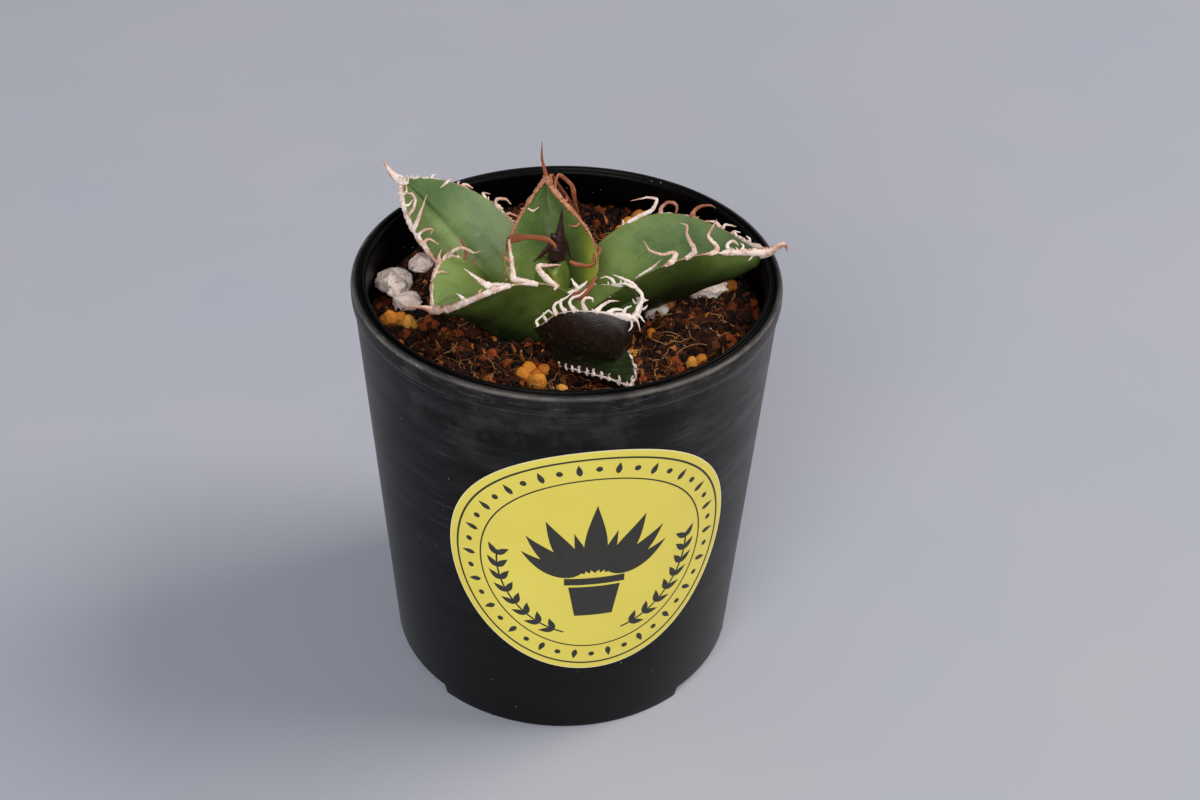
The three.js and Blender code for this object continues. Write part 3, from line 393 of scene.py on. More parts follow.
def plus(tree, first, *others):
    """The sum of sockets and numbers."""
    for other in others:
        first = maths(tree, "ADD", first, other)
    return first


def blend(tree, amount, first, second):
    """first where amount is 0 and second where it is 1, as a colour."""
    return add_node(
        tree, "ShaderNodeMix", {0: amount, 6: first, 7: second}, data_type="RGBA"
    ).outputs[2]


def layered(tree, base, *layers):
    """The base colour under layers, each an amount from 0 to 1 and a hex code or another colour."""
    for amount, over in layers:
        base = blend(tree, amount, base, colour(over) if isinstance(over, str) else over)
    return base


def between(tree, value, low, high, to_low=0.0, to_high=1.0):
    """value taken from low..high to to_low..to_high and held at the ends, smoothly."""
    return made(
        tree, "ShaderNodeMapRange",
        {"Value": value, "From Min": low, "From Max": high, "To Min": to_low, "To Max": to_high},
        interpolation_type="SMOOTHSTEP", clamp=True,
    )


def attribute(tree, name):
    return add_node(tree, "ShaderNodeAttribute", attribute_name=name).outputs["Fac"]


def cloud(tree, where, size, detail=3.0, rough=0.5):
    """Noise with features of about size millimetres, from 0 to 1."""
    return made(
        tree, "ShaderNodeTexNoise",
        {"Vector": where, "Scale": per_mm(size), "Detail": detail, "Roughness": rough},
    )


def cells_of(tree, where, size):
    """Cells of about size millimetres, with outputs Distance and Color."""
    return add_node(tree, "ShaderNodeTexVoronoi", {"Vector": where, "Scale": per_mm(size)}).outputs


def stretched(tree, where, scale, turn=0.0):
    """Coordinates scaled, then turned by degrees round the third axis."""
    return made(
        tree, "ShaderNodeMapping",
        {"Vector": where, "Rotation": (0, 0, math.radians(turn)), "Scale": scale},
    )


def new_material(name):
    """An empty material with its shader and its object coordinates."""
    material = bpy.data.materials.new(name)
    material.use_nodes = True
    tree = material.node_tree
    shader = tree.nodes["Principled BSDF"]
    where = add_node(tree, "ShaderNodeTexCoord").outputs["Object"]
    return material, tree, shader, where


def set_bump(tree, shader, height, depth, strength=1.0):
    """Relief of depth millimetres at height 1."""
    relief = add_node(
        tree, "ShaderNodeBump", {"Height": height, "Distance": depth * MM, "Strength": strength}
    )
    tree.links.new(relief.outputs[0], shader.inputs["Normal"])


def feed(tree, shader, **sockets):
    """The shader's sockets set to values or linked."""
    for name, value in sockets.items():
        socket = shader.inputs[name.replace("_", " ")]
        if isinstance(value, bpy.types.NodeSocket):
            tree.links.new(value, socket)
        else:
            socket.default_value = value


def mesh_piece(name, points, faces, material, smooth=True, attributes=None):
    """A mesh object at the origin from points in millimetres."""
    mesh = bpy.data.meshes.new(name)
    scaled = np.asarray(points, float) * MM
    mesh.from_pydata(scaled.tolist(), [], [tuple(int(i) for i in f) for f in faces])
    mesh.validate()
    for key, values in (attributes or {}).items():
        layer = mesh.attributes.new(key, "FLOAT", "POINT")
        layer.data.foreach_set("value", np.asarray(values, np.float32))
    mesh.polygons.foreach_set("use_smooth", [smooth] * len(mesh.polygons))
    mesh.materials.append(material)
    mesh.update()
    piece = bpy.data.objects.new(name, mesh)
    bpy.context.scene.collection.objects.link(piece)
    return piece


def hand_over(piece, slot, *nodes):
    """The finished piece rides on the body and takes the place of its CAD nodes; its slot is not used."""
    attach(piece, "root")
    if nodes:
        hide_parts(*nodes)
    return piece


def baked(piece):
    """The piece with its modifiers made part of the mesh."""
    bpy.context.view_layer.update()
    graph = bpy.context.evaluated_depsgraph_get()
    mesh = bpy.data.meshes.new_from_object(
        piece.evaluated_get(graph), preserve_all_data_layers=True, depsgraph=graph)
    piece.modifiers.clear()
    old = piece.data
    piece.data = mesh
    mesh.name = piece.name
    if old.users == 0:
        bpy.data.meshes.remove(old)
    return piece


def seeded_share(seed):
    """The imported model's own generator of shares from 0 to 1, for pieces that must sit where its do."""
    state = seed

    def draw():
        nonlocal state
        state = (state * 1664525 + 1013904223) % 4294967296
        return state / 4294967296

    return draw


# ---------- shapes that several pieces share ----------
def polar(radius, angle):
    return radius * math.cos(angle), radius * math.sin(angle)


def round_angles(count, offset=0.0):
    """The angles of count even places round a circle, shifted by a share of their spacing."""
    return [2 * math.pi * (k + offset) / count for k in range(count)]


def wall_radius(z):
    """The radius of the pot's outside at a height."""
    slope = (RIM_RADIUS - BEAD_PROUD - FOOT_RADIUS) / (POT_HEIGHT - RIM_DROP)
    return FOOT_RADIUS + slope * z


def inner_radius(z):
    return wall_radius(z) - WALL


def soil_height(x, y):
    """The height of the mix: hollow in front, a little higher at the back, in low waves."""
    hollow = 4 * math.exp(-((x - 8) ** 2 + (y + 15) ** 2) / 400)
    back = 2.6 * max(0.0, y - 20) / 22
    swell = 0.45 * math.sin(x * 0.55 + 1) * math.cos(y * 0.48)
    ripple = 0.3 * math.sin(x * 1.3 - y * 0.9)
    return SOIL_LEVEL - hollow + back + swell + ripple


def rounded(profile, radius, steps=4):
    """A profile with each corner turned into a small arc. A point's third value is its own radius."""
    result = [profile[0][:2]]
    for before, here, after in zip(profile, profile[1:], profile[2:]):
        size = here[2] if len(here) > 2 else radius
        a, p, b = (Vector(q[:2]) for q in (before, here, after))
        reach = min(size, (a - p).length * 0.45, (b - p).length * 0.45)
        start = p + (a - p).normalized() * reach
        end = p + (b - p).normalized() * reach
        for i in range(steps + 1):
            t = i / steps
            result.append(tuple(start * (1 - t) ** 2 + p * 2 * t * (1 - t) + end * t * t))
    result.append(profile[-1][:2])
    return result


def quadratic(values, t):
    """A smooth value that is a, b and c at 0, a half and 1."""
    a, b, c = values
    return a * (1 - t) * (1 - 2 * t) + b * 4 * t * (1 - t) + c * t * (2 * t - 1)


def heading(leaf, t):
    """The direction that the midrib runs in at t."""
    slope = np.radians(quadratic(leaf["rise"], t))
    turn = np.radians(leaf["azimuth"] + leaf["swing"] * t)
    return np.stack([np.cos(turn) * np.cos(slope), np.sin(turn) * np.cos(slope), np.sin(slope)], -1)


def rib_frame(leaf, t):
    """The midrib at t: where it is, along it, to its left and out of the upper face."""
    steps = 40
    shares = t * (np.arange(steps) + 0.5) / steps
    at = np.array(leaf["base"], float) + heading(leaf, shares).sum(0) * leaf["length"] * t / steps
    along = heading(leaf, t)
    turn = math.radians(leaf["azimuth"] + leaf["swing"] * t)
    left = np.array((-math.sin(turn), math.cos(turn), 0.0))
    up = np.cross(along, left)
    roll = math.radians(lerp(*leaf["roll"], t))
    rolled = left * math.cos(roll) + up * math.sin(roll)
    return at, along, rolled, up * math.cos(roll) - left * math.sin(roll)


def half_width(leaf, t):
    """Half the leaf's width at t, with its horny edge."""
    waist, widest = leaf["waist"], leaf["widest"]
    if t < widest:
        share = waist + (1 - waist) * math.sin(math.pi / 2 * t / widest)
    else:
        share = math.cos(math.pi / 2 * (t - widest) / (1 - widest))
    return leaf["half_width"] * share


def margin_half(t):
    """Half the width of the horny edge at t."""
    return lerp(MARGIN_NEAR, MARGIN_FAR, max(t, 0.0))


def face_point(leaf, place, t, u, width):
    """A point of the blade's folded upper face, u from 1 at its left edge to -1 at its right."""
    at, _, left, up = place
    fold = math.radians(lerp(*leaf["fold"], t))
    rise = (math.hypot(u, KEEL_ROUND) - KEEL_ROUND) / (math.hypot(1, KEEL_ROUND) - KEEL_ROUND)
    return at + left * width * u * math.cos(fold) + up * width * rise * math.sin(fold)


def blade_end(leaf):
    """How far along the leaf its flesh reaches before horn takes over."""
    t = 1.0
    while half_width(leaf, t) - 2 * margin_half(t) - 1.9 * AIR < leaf.get("cut", 0.7):
        t -= 0.005
    return t


def margin_point(leaf, t, side):
    """A point of the horny edge, with the outward, the forward and the upward direction there."""
    place = rib_frame(leaf, t)
    width = max(half_width(leaf, t) - margin_half(t), 0.05)
    at = face_point(leaf, place, t, side, width)
    out = at - face_point(leaf, place, t, side * 0.8, width)
    out = out / np.linalg.norm(out)
    up = place[3]
    at = at - up * EDGE_THICK / 2 + out * (EDGE_THICK / 2) * out.dot(up)
    return at, out, place[1], up


def distances(points):
    """How far along a line of points each one is."""
    return np.concatenate([[0], np.cumsum(np.linalg.norm(np.diff(points, axis=0), axis=1))])


def spline(points, count):
    """count points on a smooth curve through the given ones."""
    p = np.asarray(points, float)
    padded = np.vstack([2 * p[0] - p[1], p, 2 * p[-1] - p[-2]])
    lengths = distances(p)
    result = []
    for distance in np.linspace(0, lengths[-1], count):
        i = min(int(np.searchsorted(lengths, distance, side="right")) - 1, len(p) - 2)
        s = (distance - lengths[i]) / max(lengths[i + 1] - lengths[i], 1e-9)
        a, b, c, d = padded[i:i + 4]
        result.append(0.5 * (
            2 * b + (c - a) * s + (2 * a - 5 * b + 4 * c - d) * s ** 2
            + (3 * b - a - 3 * c + d) * s ** 3))
    return np.array(result)


def bent(points, count, crisp):
    """count points from 0 to 1 along a bent line, and their shares of it. Its corners are rounded,
    less so the higher crisp is."""
    ends = np.asarray(points, float)
    spots = distances(ends)
    s = np.linspace(0, 1, count)
    straight = np.stack([np.interp(s * spots[-1], spots, ends[:, k]) for k in range(3)], -1)
    return lerp(spline(ends, count), straight, crisp), s


def shaken(draw, *shape):
    """Seeded draws from -1 to 1, as an array of this shape."""
    return np.array([draw.uniform(-1, 1) for _ in range(math.prod(shape))]).reshape(shape)


class Shell:
    """Points, faces and per-point values of one piece, gathered shape by shape."""

    def __init__(self):
        self.points, self.faces, self.values = [], [], {}

    def add(self, points, faces, **values):
        start = len(self.points)
        self.points.extend(np.asarray(points, float).reshape(-1, 3).tolist())
        self.faces.extend(tuple(i + start for i in face) for face in faces)
        for key, given in values.items():
            flat = np.broadcast_to(np.asarray(given, float), (len(self.points) - start,))
            self.values.setdefault(key, []).extend(flat.tolist())

    def piece(self, name, material, smooth=True):
        return mesh_piece(name, self.points, self.faces, material, smooth, self.values)


def loop_faces(rings, sides):
    """Quads between rings of points, with a middle point at either end, outward facing."""
    faces = []
    for r in range(rings - 1):
        for k in range(sides):
            a, b = r * sides + k, r * sides + (k + 1) % sides
            faces.append((a, b, b + sides, a + sides))
    first, last = rings * sides, rings * sides + 1
    base = (rings - 1) * sides
    for k in range(sides):
        faces.append((first, (k + 1) % sides, k))
        faces.append((last, base + k, base + (k + 1) % sides))
    return faces


def sweep(shell, path, wide, thin, sides, wide_axis, twist=0.0, **values):
    """A tapering ribbon or rod along a path measured from the crown. wide and thin are its half
    sizes at each point, and wide_axis the direction that the wide one starts in."""
    path = np.asarray(path, float) + np.array(CROWN)
    count = len(path)
    axis = np.asarray(wide_axis, float)
    rings = []
    for i, p in enumerate(path):
        t = path[min(i + 1, count - 1)] - path[max(i - 1, 0)]
        t = t / max(np.linalg.norm(t), 1e-9)
        axis = axis - t * axis.dot(t)
        axis = axis / max(np.linalg.norm(axis), 1e-9)
        other = np.cross(t, axis)
        spin = twist * i / max(count - 1, 1)
        a = axis * math.cos(spin) + other * math.sin(spin)
        b = other * math.cos(spin) - axis * math.sin(spin)
        for angle in round_angles(sides):
            rings.append(p + a * wide[i] * math.cos(angle) + b * thin[i] * math.sin(angle))
    expanded = {}
    for key, given in values.items():
        flat = np.broadcast_to(np.asarray(given, float), (count,))
        expanded[key] = np.concatenate([np.repeat(flat, sides), [flat[0], flat[-1]]])
    # the wide side's two rims carry 1 in "rim", its faces 0
    rim = np.abs(np.cos(round_angles(sides)))
    expanded["rim"] = np.concatenate([np.tile(rim, count), [0, 0]])
    shell.add(rings + [path[0], path[-1]], loop_faces(count, sides), **expanded)


# ---------- materials ----------
def pot_plastic(settings):
    """Black polypropylene, press moulded: it looks near black in front and greys where light grazes
    it, with a dull bloom, fine slanting scuffs, handling marks under the rim and specks of dust;
    its right side has dust painted paler as painted light, its lip painted highlights and its
    inside painted shade."""
    material, tree, shader, where = new_material("moulded_polypropylene")
    x, y, z = add_node(tree, "ShaderNodeSeparateXYZ", {0: where}).outputs
    bloom = cloud(tree, where, 24, 4, 0.6)
    level = stretched(tree, where, (0.16, 0.16, 1))
    # scuffs slant across the unrolled wall, under a millimetre wide and up to 30 mm long
    round_wall = times(tree, maths(tree, "ARCTAN2", y, x), wall_radius(50) * MM)
    unrolled = made(tree, "ShaderNodeCombineXYZ", {0: round_wall, 1: z})
    slanted = stretched(tree, unrolled, (0.03, 1, 1), -24)
    scuff = between(tree, cloud(tree, slanted, 0.9, 5, 0.6), 0.56, 0.74)
    patches = between(tree, cloud(tree, where, 17, 3, 0.6), 0.42, 0.66)
    # they fade out where the unrolled wall closes, so that it has no seam
    off_seam = maths(
        tree, "MAXIMUM", between(tree, x, 0, 0.01),
        between(tree, maths(tree, "ABSOLUTE", y), 0.002, 0.014))
    scuff = times(tree, scuff, patches, off_seam)
    # dust lies in patches, paler towards the top of the wall; on the right side the wall is painted paler
    # still, as painted light where the key light falls
    upper = between(tree, z, 0.012, 0.085, 0.1, 1)
    dust_and_painted_light = times(
        tree, upper, between(tree, cloud(tree, level, 5, 6, 0.72), 0.4, 0.75),
        between(tree, x, 0.014, 0.042, 0.11, 0.36))
    handled = times(
        tree, between(tree, z, 0.070, 0.092),
        between(tree, cloud(tree, where, 7, 4, 0.65), 0.48, 0.66))
    # fine pale level lines round the bead, painted highlights where its fine ridges catch the light, and
    # a painted highlight along the lip's outer edge in a broken line
    lip_highlight_lines = times(
        tree, between(tree, z, 0.088, 0.094),
        between(tree, cloud(tree, level, 0.9, 4, 0.6), 0.54, 0.68))
    lip_edge_highlight = times(
        tree, between(tree, z, 0.0956, 0.0960), between(tree, z, 0.0965, 0.0962),
        between(tree, cloud(tree, level, 1.6, 5, 0.7), 0.36, 0.62, 0.3, 1))
    # the inside of the wall is painted near black, as painted shade in the hollow of the pot, and has no
    # sheen
    radius = maths(tree, "SQRT", plus(tree, times(tree, x, x), times(tree, y, y)))
    slope = (wall_radius(90) - wall_radius(0)) / 90
    middle_of_wall = plus(tree, times(tree, z, slope), (FOOT_RADIUS - WALL / 2) * MM)
    inside = maths(tree, "LESS_THAN", radius, middle_of_wall)
    # specks of dust up to 0.3 mm across, in three cells of ten
    cells = cells_of(tree, where, 1.9)
    pick = add_node(tree, "ShaderNodeSeparateColor", {0: cells["Color"]}).outputs
    near = maths(tree, "LESS_THAN", cells["Distance"], times(tree, pick[1], 0.09))
    speck = times(tree, near, maths(tree, "GREATER_THAN", pick[0], 0.7))
    base = layered(
        tree, blend(tree, bloom, settings.deep, settings.worn),
        (times(tree, scuff, upper, 0.3), "#6e6e70"),
        (times(tree, handled, 0.09), "#77716b"),
        (dust_and_painted_light, "#6c6c70"),
        (times(tree, lip_highlight_lines, 0.17), "#7d7a76"),
        (times(tree, lip_edge_highlight, 0.5), "#8b857e"),
        (inside, "#010101"),
        (times(tree, speck, 0.7), "#a8a294"))
    rough = plus(tree, times(tree, bloom, 0.16), settings.roughness - 0.08, times(tree, handled, 0.12))
    sheen = times(tree, maths(tree, "SUBTRACT", 1, inside), 0.12)
    feed(tree, shader, Base_Color=base, Roughness=rough, IOR=1.49, Specular_IOR_Level=0.1,
         Sheen_Weight=sheen, Sheen_Roughness=0.45, Sheen_Tint=colour("#c8c8cc"))
    relief = plus(tree, cloud(tree, where, 0.7, 3, 0.6), times(tree, scuff, 0.6))
    set_bump(tree, shader, relief, 0.02, 0.5)
    return material


def vinyl_film(settings):
    """Yellow self-adhesive vinyl: smooth and slightly glossy, with the faint level creases that a
    flat label takes on a tapered wall, their crests painted paler as painted highlight."""
    material, tree, shader, where = new_material("yellow_vinyl_film")
    # creases: 2.4 mm apart and about 20 mm long, level round the wall
    crease = cloud(tree, stretched(tree, where, (0.12, 0.12, 1)), 2.4, 2, 0.5)
    base = layered(
        tree, blend(tree, cloud(tree, where, 15, 3, 0.5), settings.film, settings.film_worn),
        # the crests of the creases are painted paler: painted highlight
        (between(tree, crease, 0.6, 0.75, 0, 0.18), "#f0e58e"),
        # the cut edge shows the white of the film's core, 0.2 mm wide
        (between(tree, attribute(tree, "edge"), 0.84, 0.92, 0, 0.7), "#f4eecb"))
    feed(tree, shader, Base_Color=base, Roughness=0.36, IOR=1.5)
    set_bump(tree, shader, crease, 0.14, 0.6)
    return material


def screen_ink(settings):
    """Black screen-printing ink on the film: a thin dull layer, a little uneven."""
    material, tree, shader, where = new_material("black_screen_ink")
    base = blend(tree, cloud(tree, where, 1.2, 3), settings.ink, colour("#33322b"))
    feed(tree, shader, Base_Color=base, Roughness=0.5, IOR=1.5)
    return material


def agave_skin():
    """The waxy skin of an agave leaf: blue-green to grass green, yellower with painted glow where
    light passes through a thin edge or falls full on it, darker with painted shade along creases,
    on undersides and on shaded leaves, plum brown where the sun has stained the underside and as
    painted shade on the low leaf, with a dull wax bloom, fine lengthwise veins and pores of under
    half a millimetre."""
    material, tree, shader, where = new_material("agave_leaf_skin")
    mottle = cloud(tree, where, 5.5, 4, 0.6)
    fine = between(tree, cloud(tree, where, 0.8, 3, 0.6), 0.35, 0.65)
    lengthwise = made(
        tree, "ShaderNodeCombineXYZ",
        {0: times(tree, attribute(tree, "across"), 26), 1: attribute(tree, "along")},
    )
    veins = made(
        tree, "ShaderNodeTexNoise",
        {"Vector": lengthwise, "Scale": 1.6, "Detail": 3.0, "Roughness": 0.6},
    )
    base = layered(
        tree, blend(tree, between(tree, mottle, 0.3, 0.7), colour("#48672a"), colour("#728c46")),
        (between(tree, veins, 0.4, 0.7, 0, 0.25), "#829a55"),
        (attribute(tree, "blue"), "#5e7c52"),
        # painted glow and painted shade, as leaf_paint sets them for each place; plum is stain, and
        # painted shade on the low leaf
        (attribute(tree, "glow"), "#98a43a"),
        (attribute(tree, "shade"), "#182508"),
        (attribute(tree, "plum"), blend(tree, fine, colour("#140c07"), colour("#281b12"))),
        # rubbed wax, in patches of a millimetre or two
        (between(tree, cloud(tree, where, 2.2, 5, 0.7), 0.62, 0.74, 0, 0.34), "#a3b48c"))
    rough = plus(tree, times(tree, mottle, 0.16), 0.36)
    feed(tree, shader, Base_Color=base, Roughness=rough, IOR=1.45,
         Subsurface_Weight=0.06, Subsurface_Radius=(0.0009, 0.0014, 0.0004), Subsurface_Scale=1.0)
    pores = cells_of(tree, where, 0.42)["Distance"]
    relief = plus(tree, times(tree, pores, 0.5), times(tree, veins, 0.7), times(tree, mottle, 1.6))
    set_bump(tree, shader, relief, 0.09, 0.6)
    return material


def dry_horn(name, bleached, tan, rust, dark):
    """Dry horn of the margins: fibrous and dull, bone pale where it has bleached, with rust brown
    rims and grooves where it is younger; the rims are also painted darker as painted shade."""
    material, tree, shader, where = new_material(name)
    patch = cloud(tree, where, 1.9, 4, 0.65)
    fibre = cloud(tree, where, 0.35, 3, 0.6)
    uneven = times(tree, maths(tree, "SUBTRACT", patch, 0.5), 1.1)
    brown = plus(tree, attribute(tree, "warmth"), uneven)
    # the rims of each ribbon turn rust brown: partly the horn's own rust, partly painted shade where the
    # edge turns from the light
    rim = times(
        tree, between(tree, attribute(tree, "rim"), 0.7, 1), between(tree, brown, -0.1, 0.5, 0.12, 0.75))
    base = layered(
        tree, blend(tree, between(tree, brown, 0.1, 0.5), colour(bleached), colour(tan)),
        (between(tree, brown, 0.45, 0.95), rust),
        (rim, rust),
        (between(tree, fibre, 0.55, 0.75, 0, 0.35), dark))
    feed(tree, shader, Base_Color=base, Roughness=0.62, IOR=1.54)
    set_bump(tree, shader, plus(tree, fibre, patch), 0.12, 0.8)
    return material


def dried_horn_of_spear():
    """The closed leaf's young horn: deep maroon brown, polished by growing out of its sheath."""
    material, tree, shader, where = new_material("maroon_horn")
    streak = cloud(tree, where, 1.1, 4, 0.6)
    base = blend(tree, streak, colour("#120506"), colour("#2e100c"))
    base = blend(tree, attribute(tree, "warmth"), base, colour("#33130f"))
    feed(tree, shader, Base_Color=base, Roughness=0.42, IOR=1.54)
    set_bump(tree, shader, streak, 0.08, 0.6)
    return material


def stem_flesh():
    """The crown's pale green flesh between the leaf bases."""
    material, tree, shader, where = new_material("pale_stem_flesh")
    base = blend(tree, cloud(tree, where, 3, 3), colour("#59703a"), colour("#8c9a5c"))
    feed(tree, shader, Base_Color=base, Roughness=0.55, IOR=1.45)
    set_bump(tree, shader, cloud(tree, where, 1, 3), 0.1, 0.6)
    return material


def peaty_mix(settings):
    """The damp fines of the potting mix: black-brown peat and crushed bark, dull, with rust
    coloured flecks of fired clay."""
    material, tree, shader, where = new_material("peaty_potting_mix")
    cells = cells_of(tree, where, 1.7)
    pick = add_node(tree, "ShaderNodeSeparateColor", {0: cells["Color"]}).outputs
    patch = between(tree, cloud(tree, where, 6, 4, 0.6), 0.35, 0.65)
    base = layered(
        tree, blend(tree, patch, settings.peat, settings.loam),
        (times(tree, maths(tree, "GREATER_THAN", pick[0], 0.72), 0.8), settings.rust))
    feed(tree, shader, Base_Color=base, Roughness=0.92, IOR=1.4, Specular_IOR_Level=0.2)
    relief = plus(tree, cloud(tree, where, 0.7, 4, 0.7), times(tree, cells["Distance"], -0.8))
    set_bump(tree, shader, relief, 0.5)
    return material


def crumb(name, first, second, third, rough=0.85):
    """Crumbs of the mix in three shades, each crumb with its own, dull and finely pitted."""
    material, tree, shader, where = new_material(name)
    tint = attribute(tree, "grain_tint")
    speckle = cloud(tree, where, 0.6, 4, 0.65)
    base = layered(
        tree, blend(tree, between(tree, tint, 0.1, 0.5), colour(first), colour(second)),
        (between(tree, tint, 0.6, 0.95), third),
        (between(tree, speckle, 0.5, 0.75, 0, 0.6), first))
    feed(tree, shader, Base_Color=base, Roughness=rough, IOR=1.45, Specular_IOR_Level=0.25)
    set_bump(tree, shader, plus(tree, speckle, cloud(tree, where, 1.4, 3, 0.6)), 0.4)
    return material


def pumice_stone():
    """Pumice: frothy volcanic glass, chalky white, darker and warmer in its pits and holes."""
    material, tree, shader, where = new_material("white_pumice")
    pits = cells_of(tree, where, 0.8)["Distance"]
    holes = cells_of(tree, where, 1.9)["Distance"]
    stain = cloud(tree, where, 1.6, 4, 0.65)
    base = layered(
        tree, blend(tree, between(tree, stain, 0.4, 0.7), colour("#ecdfd6"), colour("#d2b8a9")),
        (between(tree, pits, 0, 0.24, 0.7, 0), "#a07a66"),
        (between(tree, holes, 0.1, 0.24, 0.75, 0), "#7d5a48"))
    feed(tree, shader, Base_Color=base, Roughness=0.9, IOR=1.45, Specular_IOR_Level=0.3)
    set_bump(tree, shader, plus(tree, pits, stain), 0.22, 0.8)
    return material


def studio_paper(settings):
    """Matt cool grey paper under the pot."""
    material, tree, shader, where = new_material("cool_grey_paper")
    base = blend(tree, cloud(tree, where, 90, 3), settings.floor, settings.floor_warm)
    feed(tree, shader, Base_Color=base, Roughness=0.7, IOR=1.4)
    return material


# ---------- settings ----------
def shade_of(name, text, code):
    return FloatVectorProperty(
        name=name, description=text, subtype="COLOR", size=4, min=0, max=1, default=colour(code))


def number_of(name, text, number):
    return IntProperty(name=name, description=text, min=0, default=number)


def watts_of(name, text, watts):
    return FloatProperty(name=name, description=text, unit="POWER", min=0, default=watts)


class AgavePotSettings(bpy.types.PropertyGroup):
    deep: shade_of("Plastic", "Colour of the clean plastic", "#040405")
    worn: shade_of("Bloomed plastic", "Colour where the plastic has dulled", "#0e0e10")
    roughness: FloatProperty(
        name="Roughness", description="How dull the wall is", subtype="FACTOR",
        min=0.05, max=1, default=0.42)
    columns: IntProperty(
        name="Columns", description="Flat faces round the wall", min=96, max=512, default=264)


class AgaveStickerSettings(bpy.types.PropertyGroup):
    film: shade_of("Film", "Colour of the film", "#e8da5e")
    film_worn: shade_of("Faded film", "Colour where the film has faded", "#dfcd52")
    ink: shade_of("Ink", "Colour of the print", "#1f1f1a")


class AgaveSoilSettings(bpy.types.PropertyGroup):
    seed: number_of("Seed", "Changes where every crumb lies", 11)
    peat: shade_of("Peat", "Colour of the fines", "#0f0603")
    loam: shade_of("Loam", "Colour of the drier fines", "#221006")
    rust: shade_of("Fired clay", "Colour of the clay flecks", "#733010")
    crumbs: number_of("Crumbs", "Red-brown crumbs in a square centimetre", 34)
    fines: number_of("Fines", "Small dark crumbs in a square centimetre", 105)
    chips: number_of("Chips", "Flat chips of bark in a square centimetre", 22)
    fibres: number_of("Fibres", "Root and coir fibres in a square centimetre", 34)


class AgaveStageSettings(bpy.types.PropertyGroup):
    floor: shade_of("Floor", "Colour of the floor", "#a3abb9")
    floor_warm: shade_of("Floor, second shade", "Second colour of the floor", "#adafb6")
    key_power: watts_of("Key light", "Power of the large soft light at the right", 60)
    fill_power: watts_of("Front light", "Power of the soft light over the camera", 38)
    sky: FloatProperty(
        name="Sky", description="Strength of the even light from all round", min=0, default=0.33)


# ---------- pot ----------
def pot_profile():
    """Half section of the pot from the middle of its underside, round its foot, up the outside,
    over the lip with its groove, down the inside and to the middle of its floor."""
    h = POT_HEIGHT
    lip = RIM_RADIUS - RIM_WIDTH
    groove = RIM_RADIUS - RIM_WIDTH * 0.6
    collar_foot = h - COLLAR_HEIGHT
    in_foot = FOOT_RADIUS - FOOT_WIDTH
    return rounded([
        (0.0, FLOOR_UNDERSIDE),
        (in_foot, FLOOR_UNDERSIDE, 0.4),
        (in_foot, 0.0, 0.4),
        (FOOT_RADIUS, 0.0, 0.5),
        *((wall_radius(z), z, 0.1) for z in (2.7, 3.1, 4.0, 8.0, 20.0, 40.0, 60.0, 80.0, 88.0)),
        (wall_radius(h - RIM_DROP - 0.55), h - RIM_DROP - 0.55, 0.25),
        (RIM_RADIUS - 0.12, h - RIM_DROP + 0.1, 0.3),
        (RIM_RADIUS, h - RIM_DROP + 0.9, 0.5),
        (RIM_RADIUS, h - 1.1, 0.5),
        (RIM_RADIUS - 0.35, h - 0.1, 0.5),
        (groove + 0.55, h, 0.25),
        (groove + 0.12, h - 0.75, 0.2),
        (groove - 0.2, h - 0.7, 0.2),
        (groove - 0.45, h - 0.08, 0.2),
        (lip + 0.35, h - 0.15, 0.2),
        (lip, h - 0.7, 0.3),
        (lip + 0.2, collar_foot + 0.8, 0.4),
        (inner_radius(collar_foot), collar_foot, 0.4),
        *((inner_radius(z), z, 0.1) for z in (80.0, 50.0, 20.0)),
        (inner_radius(FLOOR_TOP), FLOOR_TOP, 1.2),
        (0.0, FLOOR_TOP),
    ], 0.3)


def away_from(angle, centre):
    """How many degrees lie between two directions."""
    return abs((angle - centre + 180) % 360 - 180)


def pot_columns(count):
    """The angles of the wall's columns, closer together at the ends of each notch."""
    angles = list(np.linspace(0, 360, count, endpoint=False))
    for centre in NOTCH_CENTRES:
        for side in (-1, 1):
            edge = centre + side * NOTCH_HALF_ANGLE
            angles = [a for a in angles if away_from(a, edge) > 0.8]
            angles += [(edge - 0.35) % 360, (edge + 0.35) % 360]
    return sorted(angles)


def notched(angle, r, z):
    """A point of the pot's section. In a notch the foot ends higher, its outside on the wall."""
    if z < NOTCH_HEIGHT and any(away_from(angle, at) < NOTCH_HALF_ANGLE for at in NOTCH_CENTRES):
        if r > FOOT_RADIUS - 0.9:
            r = wall_radius(NOTCH_HEIGHT) - max(0.0, FOOT_RADIUS - r) * 0.5
        z = NOTCH_HEIGHT + 0.02 * z
    return r, z


def make_drill(x, y, material):
    """The cutter of one drainage hole."""
    sides = 32
    shell = Shell()
    points = [(x + dx, y + dy, z) for z in DRILL_SPAN
              for dx, dy in (polar(DRAIN_RADIUS, a) for a in round_angles(sides))]
    shell.add(points + [(x, y, z) for z in DRILL_SPAN], loop_faces(2, sides))
    return shell.piece("drill", material)


